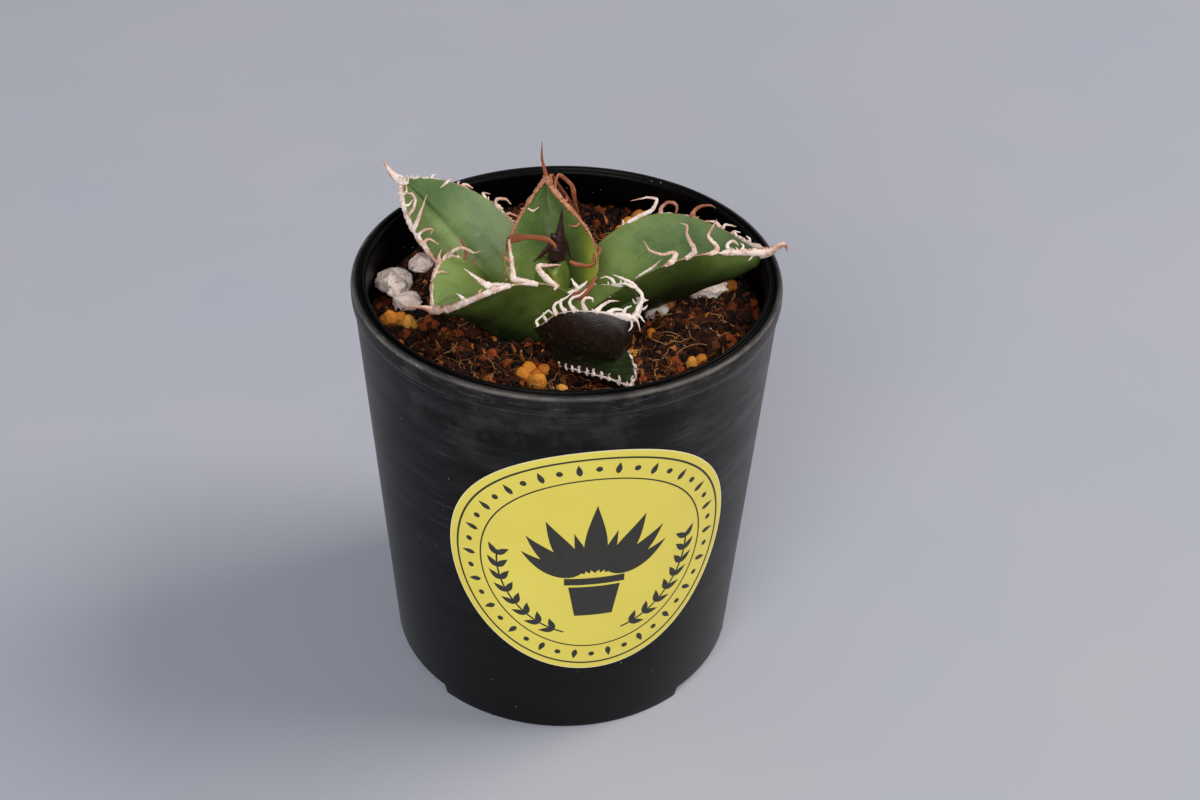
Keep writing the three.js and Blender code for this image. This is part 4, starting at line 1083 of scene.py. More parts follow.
def make_pot(settings):
    angles = pot_columns(settings.columns)
    section = pot_profile()[1:-1]
    points = []
    for ring in section:
        for angle in angles:
            r, z = notched(angle, *ring)
            points.append((*polar(r, math.radians(angle)), z))
    points += [(0, 0, FLOOR_UNDERSIDE), (0, 0, FLOOR_TOP)]
    faces = loop_faces(len(section), len(angles))
    pot = mesh_piece("nursery_pot", points, faces, pot_plastic(settings))
    drills = [make_drill(*polar(DRAIN_RING, a), pot.data.materials[0]) for a in round_angles(DRAIN_COUNT)]
    for drill in drills:
        cut = pot.modifiers.new("drain", "BOOLEAN")
        cut.operation = "DIFFERENCE"
        cut.solver = "EXACT"
        cut.object = drill
    baked(pot)
    for drill in drills:
        bpy.data.objects.remove(drill)
    pot.data.polygons.foreach_set("use_smooth", [True] * len(pot.data.polygons))
    pot.data.set_sharp_from_angle(angle=math.radians(38))
    return hand_over(pot, "pot_plastic", "pot")


# ---------- sticker ----------
def on_wall(across, up, out):
    """A point of the sticker, in millimetres from its middle, as it lies wrapped on the wall."""
    z = STICKER_MIDDLE + up
    turn = math.radians(STICKER_AZIMUTH) + across / (wall_radius(STICKER_MIDDLE) + AIR)
    r = wall_radius(z) + out
    return (r * math.cos(turn), r * math.sin(turn), z)


def make_film(settings):
    """The round film itself, with its edge rounded down to the wall."""
    back, face = FILM_LIFTS
    steps, sides = 20, 120
    radii = [STICKER_RADIUS * (i + 1) / steps for i in range(steps)]
    rings = [(r, back) for r in radii]
    rings += [(r, face - 0.06 if r == STICKER_RADIUS else face) for r in reversed(radii)]
    points = [on_wall(*polar(r, a), lift) for r, lift in rings for a in round_angles(sides)]
    points += [on_wall(0, 0, back), on_wall(0, 0, face)]
    edge = np.zeros(len(points))
    edge[(steps - 1) * sides:(steps + 1) * sides] = 1
    # each face starts at its second corner, which sets the diagonal that a quad is split along
    faces = [corners[1:] + corners[:1] for corners in loop_faces(len(rings), sides)]
    film = mesh_piece("round_sticker", points, faces, vinyl_film(settings), attributes={"edge": edge})
    film.data.set_sharp_from_angle(angle=math.radians(40))
    return hand_over(film, "sticker_film", "sticker")


def printed_stroke(shell, path, widths, across=2, closed=False):
    """A stroke of ink along a path of (across, up) points, with its half width at each point."""
    low, high = INK_LIFTS
    path = [Vector(p) for p in path]
    count = len(path)
    grid = []
    for i, p in enumerate(path):
        if closed:
            ahead, behind = path[(i + 1) % count], path[i - 1]
        else:
            ahead, behind = path[min(i + 1, count - 1)], path[max(i - 1, 0)]
        t = (ahead - behind).normalized()
        side = Vector((-t.y, t.x))
        grid.append([p + side * widths[i] * (2 * j / across - 1) for j in range(across + 1)])
    row = across + 1
    points = [on_wall(q.x, q.y, high) for line in grid for q in line]
    points += [on_wall(q.x, q.y, low) for line in grid for q in line]
    back = count * row
    faces = []
    for i in range(count if closed else count - 1):
        a, b = i * row, ((i + 1) % count) * row
        for j in range(across):
            faces.append((a + j, b + j, b + j + 1, a + j + 1))
            faces.append((back + a + j, back + a + j + 1, back + b + j + 1, back + b + j))
        faces.append((a, back + a, back + b, b))
        faces.append((a + across, b + across, back + b + across, back + a + across))
    if not closed:
        for i, turned in ((0, False), (count - 1, True)):
            for j in range(across):
                quad = (i * row + j, i * row + j + 1, back + i * row + j + 1, back + i * row + j)
                faces.append(quad[::-1] if turned else quad)
    shell.add(points, faces)


def printed_leaf(shell, foot, direction, length, width, bend=0.0):
    """A pointed leaf shape from its foot, widest a third of the way up."""
    steps = max(8, int(length / 0.8))
    angle = math.radians(direction)
    path, widths, p = [], [], Vector(foot)
    for i in range(steps + 1):
        t = i / steps
        path.append(p.copy())
        widths.append(max(width * math.sin(math.pi * t ** 0.72), 0.03))
        turn = angle + math.radians(bend) * t
        p += Vector((math.cos(turn), math.sin(turn))) * length / steps
    printed_stroke(shell, path, widths, 4)


def arc(radius, start, end, step=1.0):
    """Points round the sticker's middle from one angle to another, in degrees."""
    count = max(2, int(abs(math.radians(end - start)) * radius / step))
    return [polar(radius, math.radians(a)) for a in np.linspace(start, end, count + 1)]


def make_print(settings):
    """A plain garden-label design: two rings with a row of beads between them, a potted rosette in
    the middle and a sprig up each side."""
    shell = Shell()
    for radius, half in ((29.6, 0.22), (24.2, 0.16)):
        ring = arc(radius, 0, 360)[:-1]
        printed_stroke(shell, ring, [half] * len(ring), 1, closed=True)
    beads = 44
    for k in range(beads):
        a = 360 * k / beads
        out = Vector(polar(1, math.radians(a)))
        if k % 2:
            dot = [out * 26.9 + Vector(q) for q in arc(0.35, 0, 360, 0.25)[:-1]]
            printed_stroke(shell, dot, [0.34] * len(dot), 1, closed=True)
        else:
            printed_leaf(shell, out * 25.5, a, 2.9, 0.62)
    # the small pot: a band for its rim and a tapered body
    printed_stroke(shell, [(x, -4.4) for x in np.linspace(-6.4, 6.4, 14)], [0.95] * 14)
    body = [(0, y) for y in np.linspace(-6.0, -14.6, 12)]
    printed_stroke(shell, body, list(np.linspace(5.5, 4.1, 12)), 12)
    # the rosette: broad pointed leaves fanned out of the pot, as direction, length, width and bend
    fan = ((168, 13.5, 1.7, -34), (148, 15.5, 2.0, -24), (126, 17.0, 2.2, -16), (90, 19.0, 2.4, 0),
           (54, 17.0, 2.2, 16), (32, 15.5, 2.0, 24), (12, 13.5, 1.7, 34), (108, 12.0, 1.3, -4),
           (72, 12.0, 1.3, 4))
    for direction, length, width, bend in fan:
        c, s = polar(1, math.radians(direction))
        printed_leaf(shell, (3.6 * c, -2.6 + 0.6 * s), direction, length, width, bend)
    sprig_radius = 20.6
    for side in (-1, 1):
        stem = [(side * x, y) for x, y in arc(sprig_radius, -72, 8)]
        printed_stroke(shell, stem, [0.2] * len(stem), 1)
        for a in range(-66, 14, 10):
            x, y = polar(sprig_radius, math.radians(a))
            for lean in (-38, 42):
                turn = a + 90 + lean
                printed_leaf(
                    shell, (side * x, y), turn if side > 0 else 180 - turn, 3.5, 0.72, 12 * side)
    piece = shell.piece("sticker_print", screen_ink(settings), smooth=False)
    return hand_over(piece, "sticker_film")


# ---------- leaves ----------
def leaf_paint(name, t, u, under):
    """How blue, how yellow with painted glow, how dark with painted shade and how plum a leaf's skin is
    at a place on it.
    """
    # every leaf is bluer towards its tip, yellower with painted glow near the crown and along its edges,
    # and has painted shade along its midrib crease
    blue = 0.15 + 0.3 * ease(0.3, 0.9, t)
    glow = 0.35 * ease(0.5, 0.0, t) + 0.1 * bump_at(1, 0.1, abs(u))
    shade = 0.35 * bump_at(0, 0.07, u) * ease(0.2, 0.8, t)
    plum = 0.0
    # an underside is painted dark as painted shade, most along the keel, with painted glow near its edges
    # and the crown
    if under:
        shade = 0.4 + 0.55 * ease(0.1, 0.8, 1 - abs(u))
        glow = 0.25 * bump_at(1, 0.35, abs(u)) + 0.15 * ease(0.5, 0.1, t)
        blue = 0.0
    if name == "back_left" and not under:
        # the half towards the viewer is painted a little yellower and the far half bluer, with painted
        # shade overall, near the crown, along the midrib crease and over the near half: painted light and
        # shade on either side of the fold
        glow += 0.12 * ease(-0.05, 0.3, u) * ease(0.1, 0.4, t)
        blue += 0.1 * ease(0.05, -0.25, u) - 0.12
        shade += 0.08 + 0.14 * ease(0.6, 0.2, t) + 0.5 * bump_at(-0.03, 0.06, u) * ease(0.35, 0.9, t)
        shade += 0.18 * ease(0.1, 0.5, u) + 0.2 * ease(0.2, 0.7, u) * ease(0.9, 0.5, t)
    if name == "right":
        # the right leaf: painted shade under it, lighter under the tip with painted glow; its upper face
        # painted darker all over, with painted glow near the crown
        if under:
            shade += 0.3 - 0.36 * ease(0.5, 0.85, t)
            glow += 0.06 * ease(0.5, 0.85, t)
        else:
            glow += 0.3 * bump_at(-0.75, 0.3, u) * ease(0.6, 0.1, t)
            blue += 0.1 * ease(0.5, 0.9, t)
            shade += 0.22
    if name == "front_left":
        # the front left leaf: painted shade under it, darker towards the tip, and painted glow over its
        # upper face
        if under:
            shade += 0.1 + 0.15 * ease(0.5, 1.0, t)
        else:
            glow += 0.22
            blue += 0.08
    if name == "back_centre":
        # the back leaf: painted shade over its face, less on its left half, and a strong painted glow
        # along its right edge near the crown
        shade += 0.36 - 0.25 * ease(0.1, 0.6, u) - 0.3 * bump_at(-0.95, 0.25, u) * ease(0.6, 0.3, t)
        glow += 0.95 * bump_at(-0.95, 0.25, u) * ease(0.75, 0.35, t)
        blue -= 0.25
    if name == "spear":
        # the closed leaf: painted shade towards its left side, a painted highlight of glow down its
        # middle, plum near its horn
        shade = 0.12 + 0.3 * ease(0.2, 0.7, u)
        glow = 0.3 + 0.3 * bump_at(0.0, 0.3, u)
        plum = ease(0.76, 0.84, t + 0.1 * u * u)
    if name == "front_dark":
        # the dark front leaf: painted shade, deepest underneath, where it is also stained plum; a little
        # plum along its upper edges
        shade += 0.6 if under else 0.1
        plum = ease(-0.02, 0.3, t + 0.14) if under else 0.1 * bump_at(1, 0.2, abs(u))
    if name == "front_low":
        # the low leaf lies in the shade of the others: painted shade all over, and plum painted as shade
        # under it and along its right side towards the crown
        shade += 0.95
        plum = 0.85 if under else 0.8 * ease(0.2, -0.5, u) * ease(0.95, 0.6, t)
    return tuple(min(max(v, 0.0), 1.0) for v in (blue, glow, shade, plum))


def leaf_relief(name, t, u, under):
    """Millimetres that the skin stands out by: soft swellings between the teeth near the edge, and
    the press marks of the leaves that it was folded against in the bud."""
    seed = len(name) * 3.7
    waves = noise.noise(Vector((t * 9, u * 2.2, seed))) * 0.32
    edge = math.sin(t * 38 + seed) * 0.16 * bump_at(1, 0.22, abs(u))
    mark = 0.0
    if not under:
        for place, slope in ((0.45, 0.35), (-0.5, 0.3)):
            mark -= 0.12 * bump_at(place * (1 - slope * t), 0.035, u) * ease(0.1, 0.3, t)
    return waves + edge + mark


def blade_parts(name):
    """Points, faces and paint of one fleshy blade."""
    leaf = LEAVES[name]
    rows, columns = 96, 40
    edge_flesh, least_flesh, edge_round, tip_half = 0.6, 0.45, 0.22, 0.35
    start = -leaf["tail"] / leaf["length"]
    end = 1.0
    while half_width(leaf, end) - margin_half(end) < tip_half:
        end -= 0.003
    if "cut" in leaf:
        end = blade_end(leaf) + 0.03
    shares = np.sin(np.linspace(1, -1, columns + 1) * math.pi / 2)
    points, paint = [], []
    places = {"along": [], "across": []}
    for i in range(rows + 1):
        t = lerp(start, end, i / rows)
        place = rib_frame(leaf, t)
        up = place[3]
        width = max(half_width(leaf, t) - margin_half(t), 0.3)
        flesh = quadratic(leaf["flesh"], max(t, 0.0))
        slim = min(1.0, width / 3.0)  # the tip thins out under the horn
        upper, lower = [], []
        for u in shares:
            thick = edge_flesh + (flesh - edge_flesh) * max(1 - u * u, 0.0) ** 0.8
            thick = max(thick * slim, least_flesh)
            p = face_point(leaf, place, t, u, width)
            calm = 1 - abs(u) ** 6
            upper.append((p + up * leaf_relief(name, t, u, False) * calm * slim, u, 0))
            lower.insert(0, (p - up * (thick + leaf_relief(name, t, u, True) * calm * slim), u, 1))
        # a ring runs over the upper face from left to right and back under the lower one
        ring = []
        for line, other in ((upper, lower), (lower, upper)):
            ring += line
            a, b = line[-1], other[0]
            outward = (a[0] + b[0]) / 2 - face_point(leaf, place, t, a[1] * 0.8, width)
            outward -= up * outward.dot(up)
            outward = outward / max(np.linalg.norm(outward), 1e-6)
            for s in (0.3, 0.7):
                ring.append((lerp(a[0], b[0], s) + outward * edge_round * slim, a[1], 0.5))
        for p, u, under in ring:
            points.append(p + np.array(CROWN))
            paint.append(leaf_paint(name, t, u, under > 0.4))
            places["along"].append(t)
            places["across"].append(u)
    sides = len(ring)
    for i in (0, rows):
        points.append(np.mean(points[i * sides:(i + 1) * sides], 0))
        paint.append(paint[i * sides])
        places["along"].append(places["along"][i * sides])
        places["across"].append(0.0)
    blue, glow, shade, plum = np.array(paint).T
    values = dict(places, blue=blue, glow=glow, shade=shade, plum=plum)
    return points, loop_faces(rows + 1, sides), values


def make_blades():
    skin = agave_skin()
    for name in LEAVES:
        points, faces, values = blade_parts(name)
        blade = mesh_piece(f"blade_{name}", points, faces, skin, attributes=values)
        slot = "leaf_dark" if name == "front_dark" else "leaf_green"
        hand_over(blade, slot, f"leaf_{name}")


# ---------- horny margins ----------
def tilted(out, up, degrees):
    """A direction lifted from out towards up."""
    lift = math.radians(degrees)
    return out * math.cos(lift) + up * math.sin(lift)


def curled(root, away, along, length, lean, bends):
    """The corners of a bent line from its root: each bend is its share of the length and its turn."""
    points = [root]
    for share, turn in bends:
        points.append(points[-1] + length * share * tilted(away, along, lean + turn))
    return points


def add_tooth(shell, leaf, side, tooth, warmth, draw):
    """A flat curled ribbon of horn: broad where it grows out of the margin, thin at its tip."""
    t, length, lean, curl, lift = tooth
    at, out, along, up = margin_point(leaf, t, side)
    away = tilted(out, up, lift)
    bends = curled(at - away * 0.4, away, along, length, lean, ((0.55, 0), (0.45, curl)))
    count = 9
    path, s = bent(bends, count, 0.45)
    path = path + shaken(draw, count, 3) * 0.06 * np.minimum(s * 4, 1)[:, None]
    root = 0.62 * min(1, 0.7 + 0.06 * length) * 0.8
    flare = 1 + min(1.7, 0.34 * length) * np.exp(-(s * length / 0.95) ** 2)
    taper = np.where(s < 0.7, 1 - 0.35 * s, 0.755 - 0.6 * (np.maximum(s - 0.7, 0) / 0.3) ** 1.3)
    wide = root * flare * taper * (1 + 0.2 * shaken(draw, count))
    thin = 0.34 * (1 - 0.45 * s) * min(1.0, 0.55 + 0.12 * length)
    thin[-1] = wide[-1] = 0.04
    heat = warmth + draw.uniform(-0.14, 0.16) + 0.2 * s ** 2
    sweep(shell, path, wide, thin, 8, along, draw.uniform(-1.3, 1.3), warmth=heat)


def add_burr(shell, leaf, side, t, warmth, draw):
    """A small curl or flake of horn between the teeth."""
    at, out, along, up = margin_point(leaf, t, side)
    away = tilted(out, up, draw.uniform(10, 110))
    length = draw.uniform(0.5, 1.5)
    lean = draw.uniform(-60, 60)
    curl = draw.choice((-1, 1)) * draw.uniform(30, 120)
    bends = curled(
        at - away * 0.15, away, along, length, lean, ((0.5, 0), (0.3, curl / 2), (0.2, curl)))
    count = 6
    s = np.linspace(0, 1, count)
    wide = draw.uniform(0.22, 0.42) * (1 - 0.85 * s ** 1.5)
    sweep(shell, spline(bends, count), wide, wide * 0.5, 6, along, 0.8, warmth=warmth + 0.1 * s)


def add_strip(shell, leaf, side, fullness, warmth, feet, calm, draw):
    """The strip of horn up one side of a leaf: a thin brown line where it is bare, and chalky,
    ragged and thick where it is full. feet are the places where teeth and curls widen it."""
    ts = np.linspace(leaf.get("horn", MARGIN_START), 1, 170)
    places, shares = zip(*fullness)
    path, wide, thin, heat = [], [], [], []
    phase = draw.uniform(0, 6)
    for t, share in zip(ts, np.interp(ts, places, shares)):
        at, out, _, up = margin_point(leaf, t, side)
        near_foot = max((bump_at(place, 0.014, t) for place in feet), default=0.0)
        reach = t * leaf["length"]
        ragged = calm * (noise.noise(Vector((reach * 0.9, phase, side))) + 0.6 * noise.noise(
            Vector((reach * 2.6, phase, side))))
        sunk = 0.4 * ease(0.12, 0.0, share)
        path.append(at + (out * 0.16 + up * 0.22) * ragged * share - out * sunk)
        half = max(margin_half(t) * share * (1 + 0.55 * ragged), 0.12 + 0.24 * near_foot)
        half *= 1 + 0.1 * calm * draw.uniform(-1, 1)
        half *= min(1.0, 0.35 + (t - ts[0]) * 8)
        wide.append(half * (1.05 + 0.3 * ragged))
        thin.append(half * (0.5 if calm > 0.8 else 0.75))
        heat.append(lerp(*warmth, t) + 0.55 * ease(0.45, 0.0, share) + 0.1 * ragged)
    up = margin_point(leaf, ts[0], side)[3]
    sweep(shell, path, wide, thin, 12, up, warmth=heat)
    for _ in range(int(leaf["length"] * 0.9) + 10):
        t = draw.uniform(0.15, 0.98)
        if np.interp(t, places, shares) > draw.uniform(0.15, 0.9):
            add_burr(shell, leaf, side, t, lerp(*warmth, t) - 0.05, draw)


def add_curl(shell, leaf, curl, warmth, draw):
    """One of the larger curls of horn: a flat ribbon, broad at its foot, with sharp turns."""
    side, t, browner, bends, widths = curl
    root = margin_point(leaf, t, side)[0]
    ends = np.array([root + np.array((right, 0, 0)) + UP_AND_BACK * up for right, up in bends])
    spots = distances(ends)
    count = max(10, int(spots[-1] * 3.4))
    path, s = bent(ends, count, 0.35)
    # out of its plane it bows a little, so that it stands free when seen from the side
    path = path + np.outer(np.sin(s * math.pi) * spots[-1] * draw.uniform(-0.12, 0.2), TO_THE_EYE)
    path = path + shaken(draw, count, 3) * 0.05
    wide = np.interp(s * spots[-1], spots, widths) * (1 + 0.13 * shaken(draw, count))
    across = np.cross(TO_THE_EYE, ends[1] - ends[0])
    sweep(shell, path, wide, np.minimum(wide * 0.55, 0.34), 12, across, draw.uniform(-0.5, 0.5),
          warmth=warmth + browner + draw.uniform(-0.1, 0.1) + 0.2 * s ** 2)


def add_spear_horn(shell, leaf, draw):
    """The closed leaf's tip: a tall dark spire with a wing of horn down either side."""
    count = 40
    s = np.linspace(0, 1, count)
    wide = np.interp(s, (0, 0.2, 0.45, 0.72, 1), (1.9, 1.75, 1.1, 0.45, 0.07))
    wide = wide * (1 + 0.05 * shaken(draw, count))
    sweep(shell, spline(leaf["spine"], count), wide, wide * 0.8, 20, (1, 0, 0), warmth=0.5 * s)
    count = 18
    s = np.linspace(0, 1, count)
    for wing in leaf["wings"]:
        sweep(shell, spline(wing, count), 0.9 * (1 - s) + 0.12, 0.3 * (1 - 0.5 * s), 10,
              (0, 0, 1), warmth=0.3 + 0.6 * s)


def add_spine(shell, leaf, warmth, draw):
    """The end spine: stout at its foot, drawn out to a needle."""
    spine = leaf["spine"]
    foot = rib_frame(leaf, blade_end(leaf) + (AIR + 0.2) / leaf["length"])
    tip = rib_frame(leaf, 1.0)
    low = foot[0] - foot[3] * EDGE_THICK / 2
    high = tip[0] - tip[3] * EDGE_THICK / 2
    points = [low, lerp(low, high, 0.5), high, high + np.array(spine["bend"]),
              high + np.array(spine["end"])]
    stout = spine["radius"]
    radii = [stout * 0.7, lerp(stout * 0.7, stout, 0.7), stout, stout * spine["waist"], 0.1]
    count = 36
    s = np.linspace(0, 1, count)
    spots = distances(points)
    radius = np.interp(s * spots[-1], spots, radii)
    radius = radius * leaf.get("slender", 0.84) * (1 + 0.06 * shaken(draw, count))
    heat = warmth[1] + leaf.get("spine_browner", 0.25) * s
    sweep(shell, spline(points, count), radius, radius * 0.86, 16, foot[2], warmth=heat)


def add_strand(shell, strand, draw):
    """A long dry strand that has peeled off a margin."""
    root = margin_point(LEAVES[strand["leaf"]], strand["at"], strand["side"])[0]
    count = 44
    path = spline([root, *strand["path"]], count) + shaken(draw, count, 3) * 0.07
    s = np.linspace(0, 1, count)
    wide = strand["thick"] * lerp(1.1, 0.5, s) * (1 + 0.16 * np.sin(s * 17))
    wide[-1] = 0.06
    sweep(shell, path, wide, wide * 0.4, 12, (0.1, 0.5, 0.86), 0.9, warmth=0.75 + 0.25 * s)


def make_margins():
    pale = dry_horn("bleached_horn", "#ebded5", "#c39a82", "#8c4829", "#74493a")
    brown = dry_horn("rusty_horn", "#dcc0aa", "#b98563", "#96502c", "#5a2c1a")
    maroon = dried_horn_of_spear()
    for number, (name, leaf) in enumerate(LEAVES.items()):
        draw = random.Random(500 + number)
        warmth = HORN_WARMTH[name]
        curls = CURLS.get(name, ())
        calm = 0.9 if name == "back_centre" else 0.75
        shell = Shell()
        for side, fullness in zip((1, -1), HORN_FULLNESS[name]):
            teeth = leaf.get("left" if side > 0 else "right", ())
            feet = [tooth[0] for tooth in teeth] + [
                curl[1] for curl in curls if curl[0] == side and len(curl[4]) > 3]
            add_strip(shell, leaf, side, fullness, warmth, feet, calm, draw)
            for tooth in teeth:
                add_tooth(shell, leaf, side, tooth, lerp(*warmth, tooth[0]), draw)
        for curl in curls:
            add_curl(shell, leaf, curl, lerp(*warmth, curl[1]), draw)
        if name == "spear":
            add_spear_horn(shell, leaf, draw)
        else:
            add_spine(shell, leaf, warmth, draw)
        for strand in STRANDS:
            if strand["leaf"] == name:
                add_strand(shell, strand, draw)
        finish = {"spear": maroon, "back_centre": brown}.get(name, pale)
        piece = shell.piece(f"horn_{name}", finish)
        hand_over(piece, "horn_dark" if name == "spear" else "horn_pale", f"margin_{name}")


def make_crown():
    """The short stem between the leaf bases, faintly ribbed."""
    profile = ((3.1, -12), (4.9, -5), (6.2, 0), (5.6, 1.2), (4.6, 2.1), (2.4, 2.8))
    sides = 48
    points = [(*polar(r * (1 + 0.03 * math.sin(5 * a + z)), a), z)
              for r, z in profile for a in round_angles(sides)]
    points = np.array(points + [(0, 0, -12), (0, 0, 3)]) + np.array(CROWN)
    piece = mesh_piece("crown_stem", points, loop_faces(len(profile), sides), stem_flesh())
    hand_over(piece, "stem_tissue", "crown")


# ---------- mix ----------
def crumbly(x, y, z=0.0):
    """Relief of the mix: rounded crumbs of about 2 mm on finer ones."""
    coarse = noise.voronoi(Vector((x / 2.4, y / 2.4, z)))[0][0]
    small = noise.voronoi(Vector((x / 1.1, y / 1.1, 7.3 + z)))[0][0]
    lumps = math.sqrt(max(0.0, 1 - (coarse / 0.75) ** 2))
    bits = math.sqrt(max(0.0, 1 - (small / 0.75) ** 2))
    return 1.4 * lumps + 0.5 * bits - 1.4 + 0.6 * noise.noise(Vector((x / 7, y / 7, 3.1)))


def make_bed(settings):
    """The body of the mix, closed all round, with a crumbly top of triangles."""
    rings, sides = 116, 300
    points = []
    for i in range(rings):
        calm = 1.0 if i < rings - 1 else 0.2
        for a in round_angles(sides, 0.5 * (i % 2)):
            x, y = polar(SOIL_RADIUS * ((i + 1) / rings), a)
            points.append((x, y, soil_height(x, y) + crumbly(x, y) * calm))
    low = inner_radius(FLOOR_TOP + AIR) - 2 * AIR
    points += [(*polar(low, a), FLOOR_TOP + AIR) for a in round_angles(sides, 0.5)]
    points += [(0, 0, soil_height(0, 0)), (0, 0, FLOOR_TOP + AIR)]
    faces = []
    for i in range(rings):
        for k in range(sides):
            a, b = i * sides + k, i * sides + (k + 1) % sides
            c, d = a + sides, b + sides
            if i == rings - 1:
                faces.append((a, c, d, b))
            elif i % 2 == 0:
                faces += [(a, c, b), (b, c, d)]
            else:
                faces += [(a, c, d), (a, d, b)]
    middle = len(points) - 2
    under = rings * sides
    for k in range(sides):
        faces.append((middle, k, (k + 1) % sides))
        faces.append((middle + 1, under + (k + 1) % sides, under + k))
    bed = mesh_piece("mix_bed", points, faces, peaty_mix(settings))
    return hand_over(bed, "soil_mix", "soil")


def seed_bed(keep_clear, radius):
    """A sheet on the mix that grains are strewn over, without the places that leaves lie on."""
    step = 1.0
    below, above = 6.0, 2.2  # how far under and over the mix a leaf counts as lying on it
    count = int(radius / step)
    index, points, faces = {}, [], []

    def corner(i, j):
        if (i, j) not in index:
            x, y = i * step, j * step
            index[(i, j)] = len(points)
            points.append((x, y, soil_height(x, y) + 0.25))
        return index[(i, j)]

    for i in range(-count, count):
        for j in range(-count, count):
            x, y = (i + 0.5) * step, (j + 0.5) * step
            if math.hypot(x, y) > radius - step:
                continue
            start = Vector((x, y, soil_height(x, y) - below)) * MM
            if keep_clear.ray_cast(start, Vector((0, 0, 1)), (below + above) * MM)[0] is not None:
                continue
            faces.append((corner(i, j), corner(i + 1, j), corner(i + 1, j + 1), corner(i, j + 1)))
    return points, faces


STREWING_INPUTS = (
    ("Geometry", "Geometry"), ("Density", "Float"), ("Seed", "Int"), ("Smallest", "Float"),
    ("Largest", "Float"), ("Flatness", "Float"), ("Stretch", "Float"), ("Unevenness", "Float"),
    ("Skew", "Float"), ("Faces", "Int"), ("Material", "Material"),
)


def drawn(tree, low, high, seed):
    """A random number for each point, or three where low and high are triples."""
    triple = isinstance(low, tuple)
    first = 0 if triple else 2
    node = add_node(
        tree, "FunctionNodeRandomValue", {first: low, first + 1: high, "Seed": seed},
        data_type="FLOAT_VECTOR" if triple else "FLOAT")
    return node.outputs[0 if triple else 1]


def strewing_tree(name, fibre=False):
    """A node tree that strews grains, or fibres, over a sheet."""
    tree = bpy.data.node_groups.new(name, "GeometryNodeTree")
    face = tree.interface
    face.new_socket("Geometry", in_out="OUTPUT", socket_type="NodeSocketGeometry")
    for label, kind in STREWING_INPUTS:
        face.new_socket(label, in_out="INPUT", socket_type=f"NodeSocket{kind}")
    given = add_node(tree, "NodeGroupInput").outputs
    points = made(
        tree, "GeometryNodeDistributePointsOnFaces",
        {"Mesh": given["Geometry"], "Density": given["Density"], "Seed": given["Seed"]},
        distribute_method="RANDOM",
    )
    # most grains are small: the share between the smallest and the largest is raised to Skew
    share = maths(tree, "POWER", drawn(tree, 0.0, 1.0, given["Seed"]), given["Skew"])
    span = maths(tree, "SUBTRACT", given["Largest"], given["Smallest"])
    size = plus(tree, given["Smallest"], times(tree, span, share))
    wide = times(tree, size, given["Stretch"])
    high = times(tree, size, given["Flatness"])
    scale = made(tree, "ShaderNodeCombineXYZ", {0: wide, 1: size, 2: high})
    if fibre:
        tip = 0.35
        shape = made(
            tree, "GeometryNodeCurveQuadraticBezier",
            {"Resolution": 9, "Start": (-0.5, 0, -0.05), "Middle": (0.05, 0.28, 0.42),
             "End": (0.5, -0.05, -0.05)},
        )
    else:
        tip = 3.1416
        shape = made(
            tree, "GeometryNodeMeshUVSphere",
            {"Radius": 0.5, "Segments": given["Faces"],
             "Rings": maths(tree, "SUBTRACT", given["Faces"], 2)},
        )
    turn = drawn(tree, (-tip, -tip, 0.0), (tip, tip, 6.283), 9)
    strewn = made(
        tree, "GeometryNodeInstanceOnPoints",
        {"Points": points, "Instance": shape, "Rotation": turn, "Scale": scale},
    )
    marked = made(
        tree, "GeometryNodeStoreNamedAttribute",
        {"Geometry": strewn, "Name": "grain_tint", "Value": drawn(tree, 0.0, 1.0, 5)},
        data_type="FLOAT", domain="INSTANCE",
    )
    real = made(tree, "GeometryNodeRealizeInstances", {"Geometry": marked})
    # noise moves each point of a grain, so that no two are alike
    position = made(tree, "GeometryNodeInputPosition")
    shift = add_node(
        tree, "ShaderNodeTexNoise",
        {"Vector": position, "Scale": per_mm(2.2 if fibre else 1.1), "Detail": 1.0},
    ).outputs["Color"]
    shift = made(tree, "ShaderNodeVectorMath", {0: shift, 1: (0.5, 0.5, 0.5)}, operation="SUBTRACT")
    shift = made(
        tree, "ShaderNodeVectorMath", {0: shift, "Scale": given["Unevenness"]}, operation="SCALE"
    )
    moved = made(tree, "GeometryNodeSetPosition", {"Geometry": real, "Offset": shift})
    if fibre:
        round_section = made(
            tree, "GeometryNodeCurvePrimitiveCircle", {"Resolution": 4, "Radius": FIBRE_RADIUS * MM}
        )
        moved = made(
            tree, "GeometryNodeCurveToMesh",
            {"Curve": moved, "Profile Curve": round_section, "Fill Caps": True},
        )
    shaded = made(tree, "GeometryNodeSetShadeSmooth", {"Geometry": moved, "Shade Smooth": fibre})
    real = made(tree, "GeometryNodeRealizeInstances", {"Geometry": shaded})
    finished = made(tree, "GeometryNodeSetMaterial", {"Geometry": real, "Material": given["Material"]})
    add_node(tree, "NodeGroupOutput", {"Geometry": finished})
    return tree


def strew(name, tree, sheet, material, **inputs):
    """One kind of grain strewn over the sheet, as a plain mesh."""
    piece = mesh_piece(name, *sheet, material)
    modifier = piece.modifiers.new("strewing", "NODES")
    modifier.node_group = tree
    for item in tree.interface.items_tree:
        if item.name in inputs:
            modifier[item.identifier] = inputs[item.name]
        elif item.name == "Material":
            modifier[item.identifier] = material
    baked(piece)
    return hand_over(piece, "soil_mix")


def leaf_shield():
    """The blades and stones as one tree of faces, so that grains keep clear of them."""
    points, faces = [], []
    for piece in bpy.data.objects:
        if piece.name.startswith(("blade_", "stone_", "granules_")):
            start = len(points)
            points += [v.co.copy() for v in piece.data.vertices]
            faces += [tuple(i + start for i in p.vertices) for p in piece.data.polygons]
    return BVHTree.FromPolygons(points, faces)


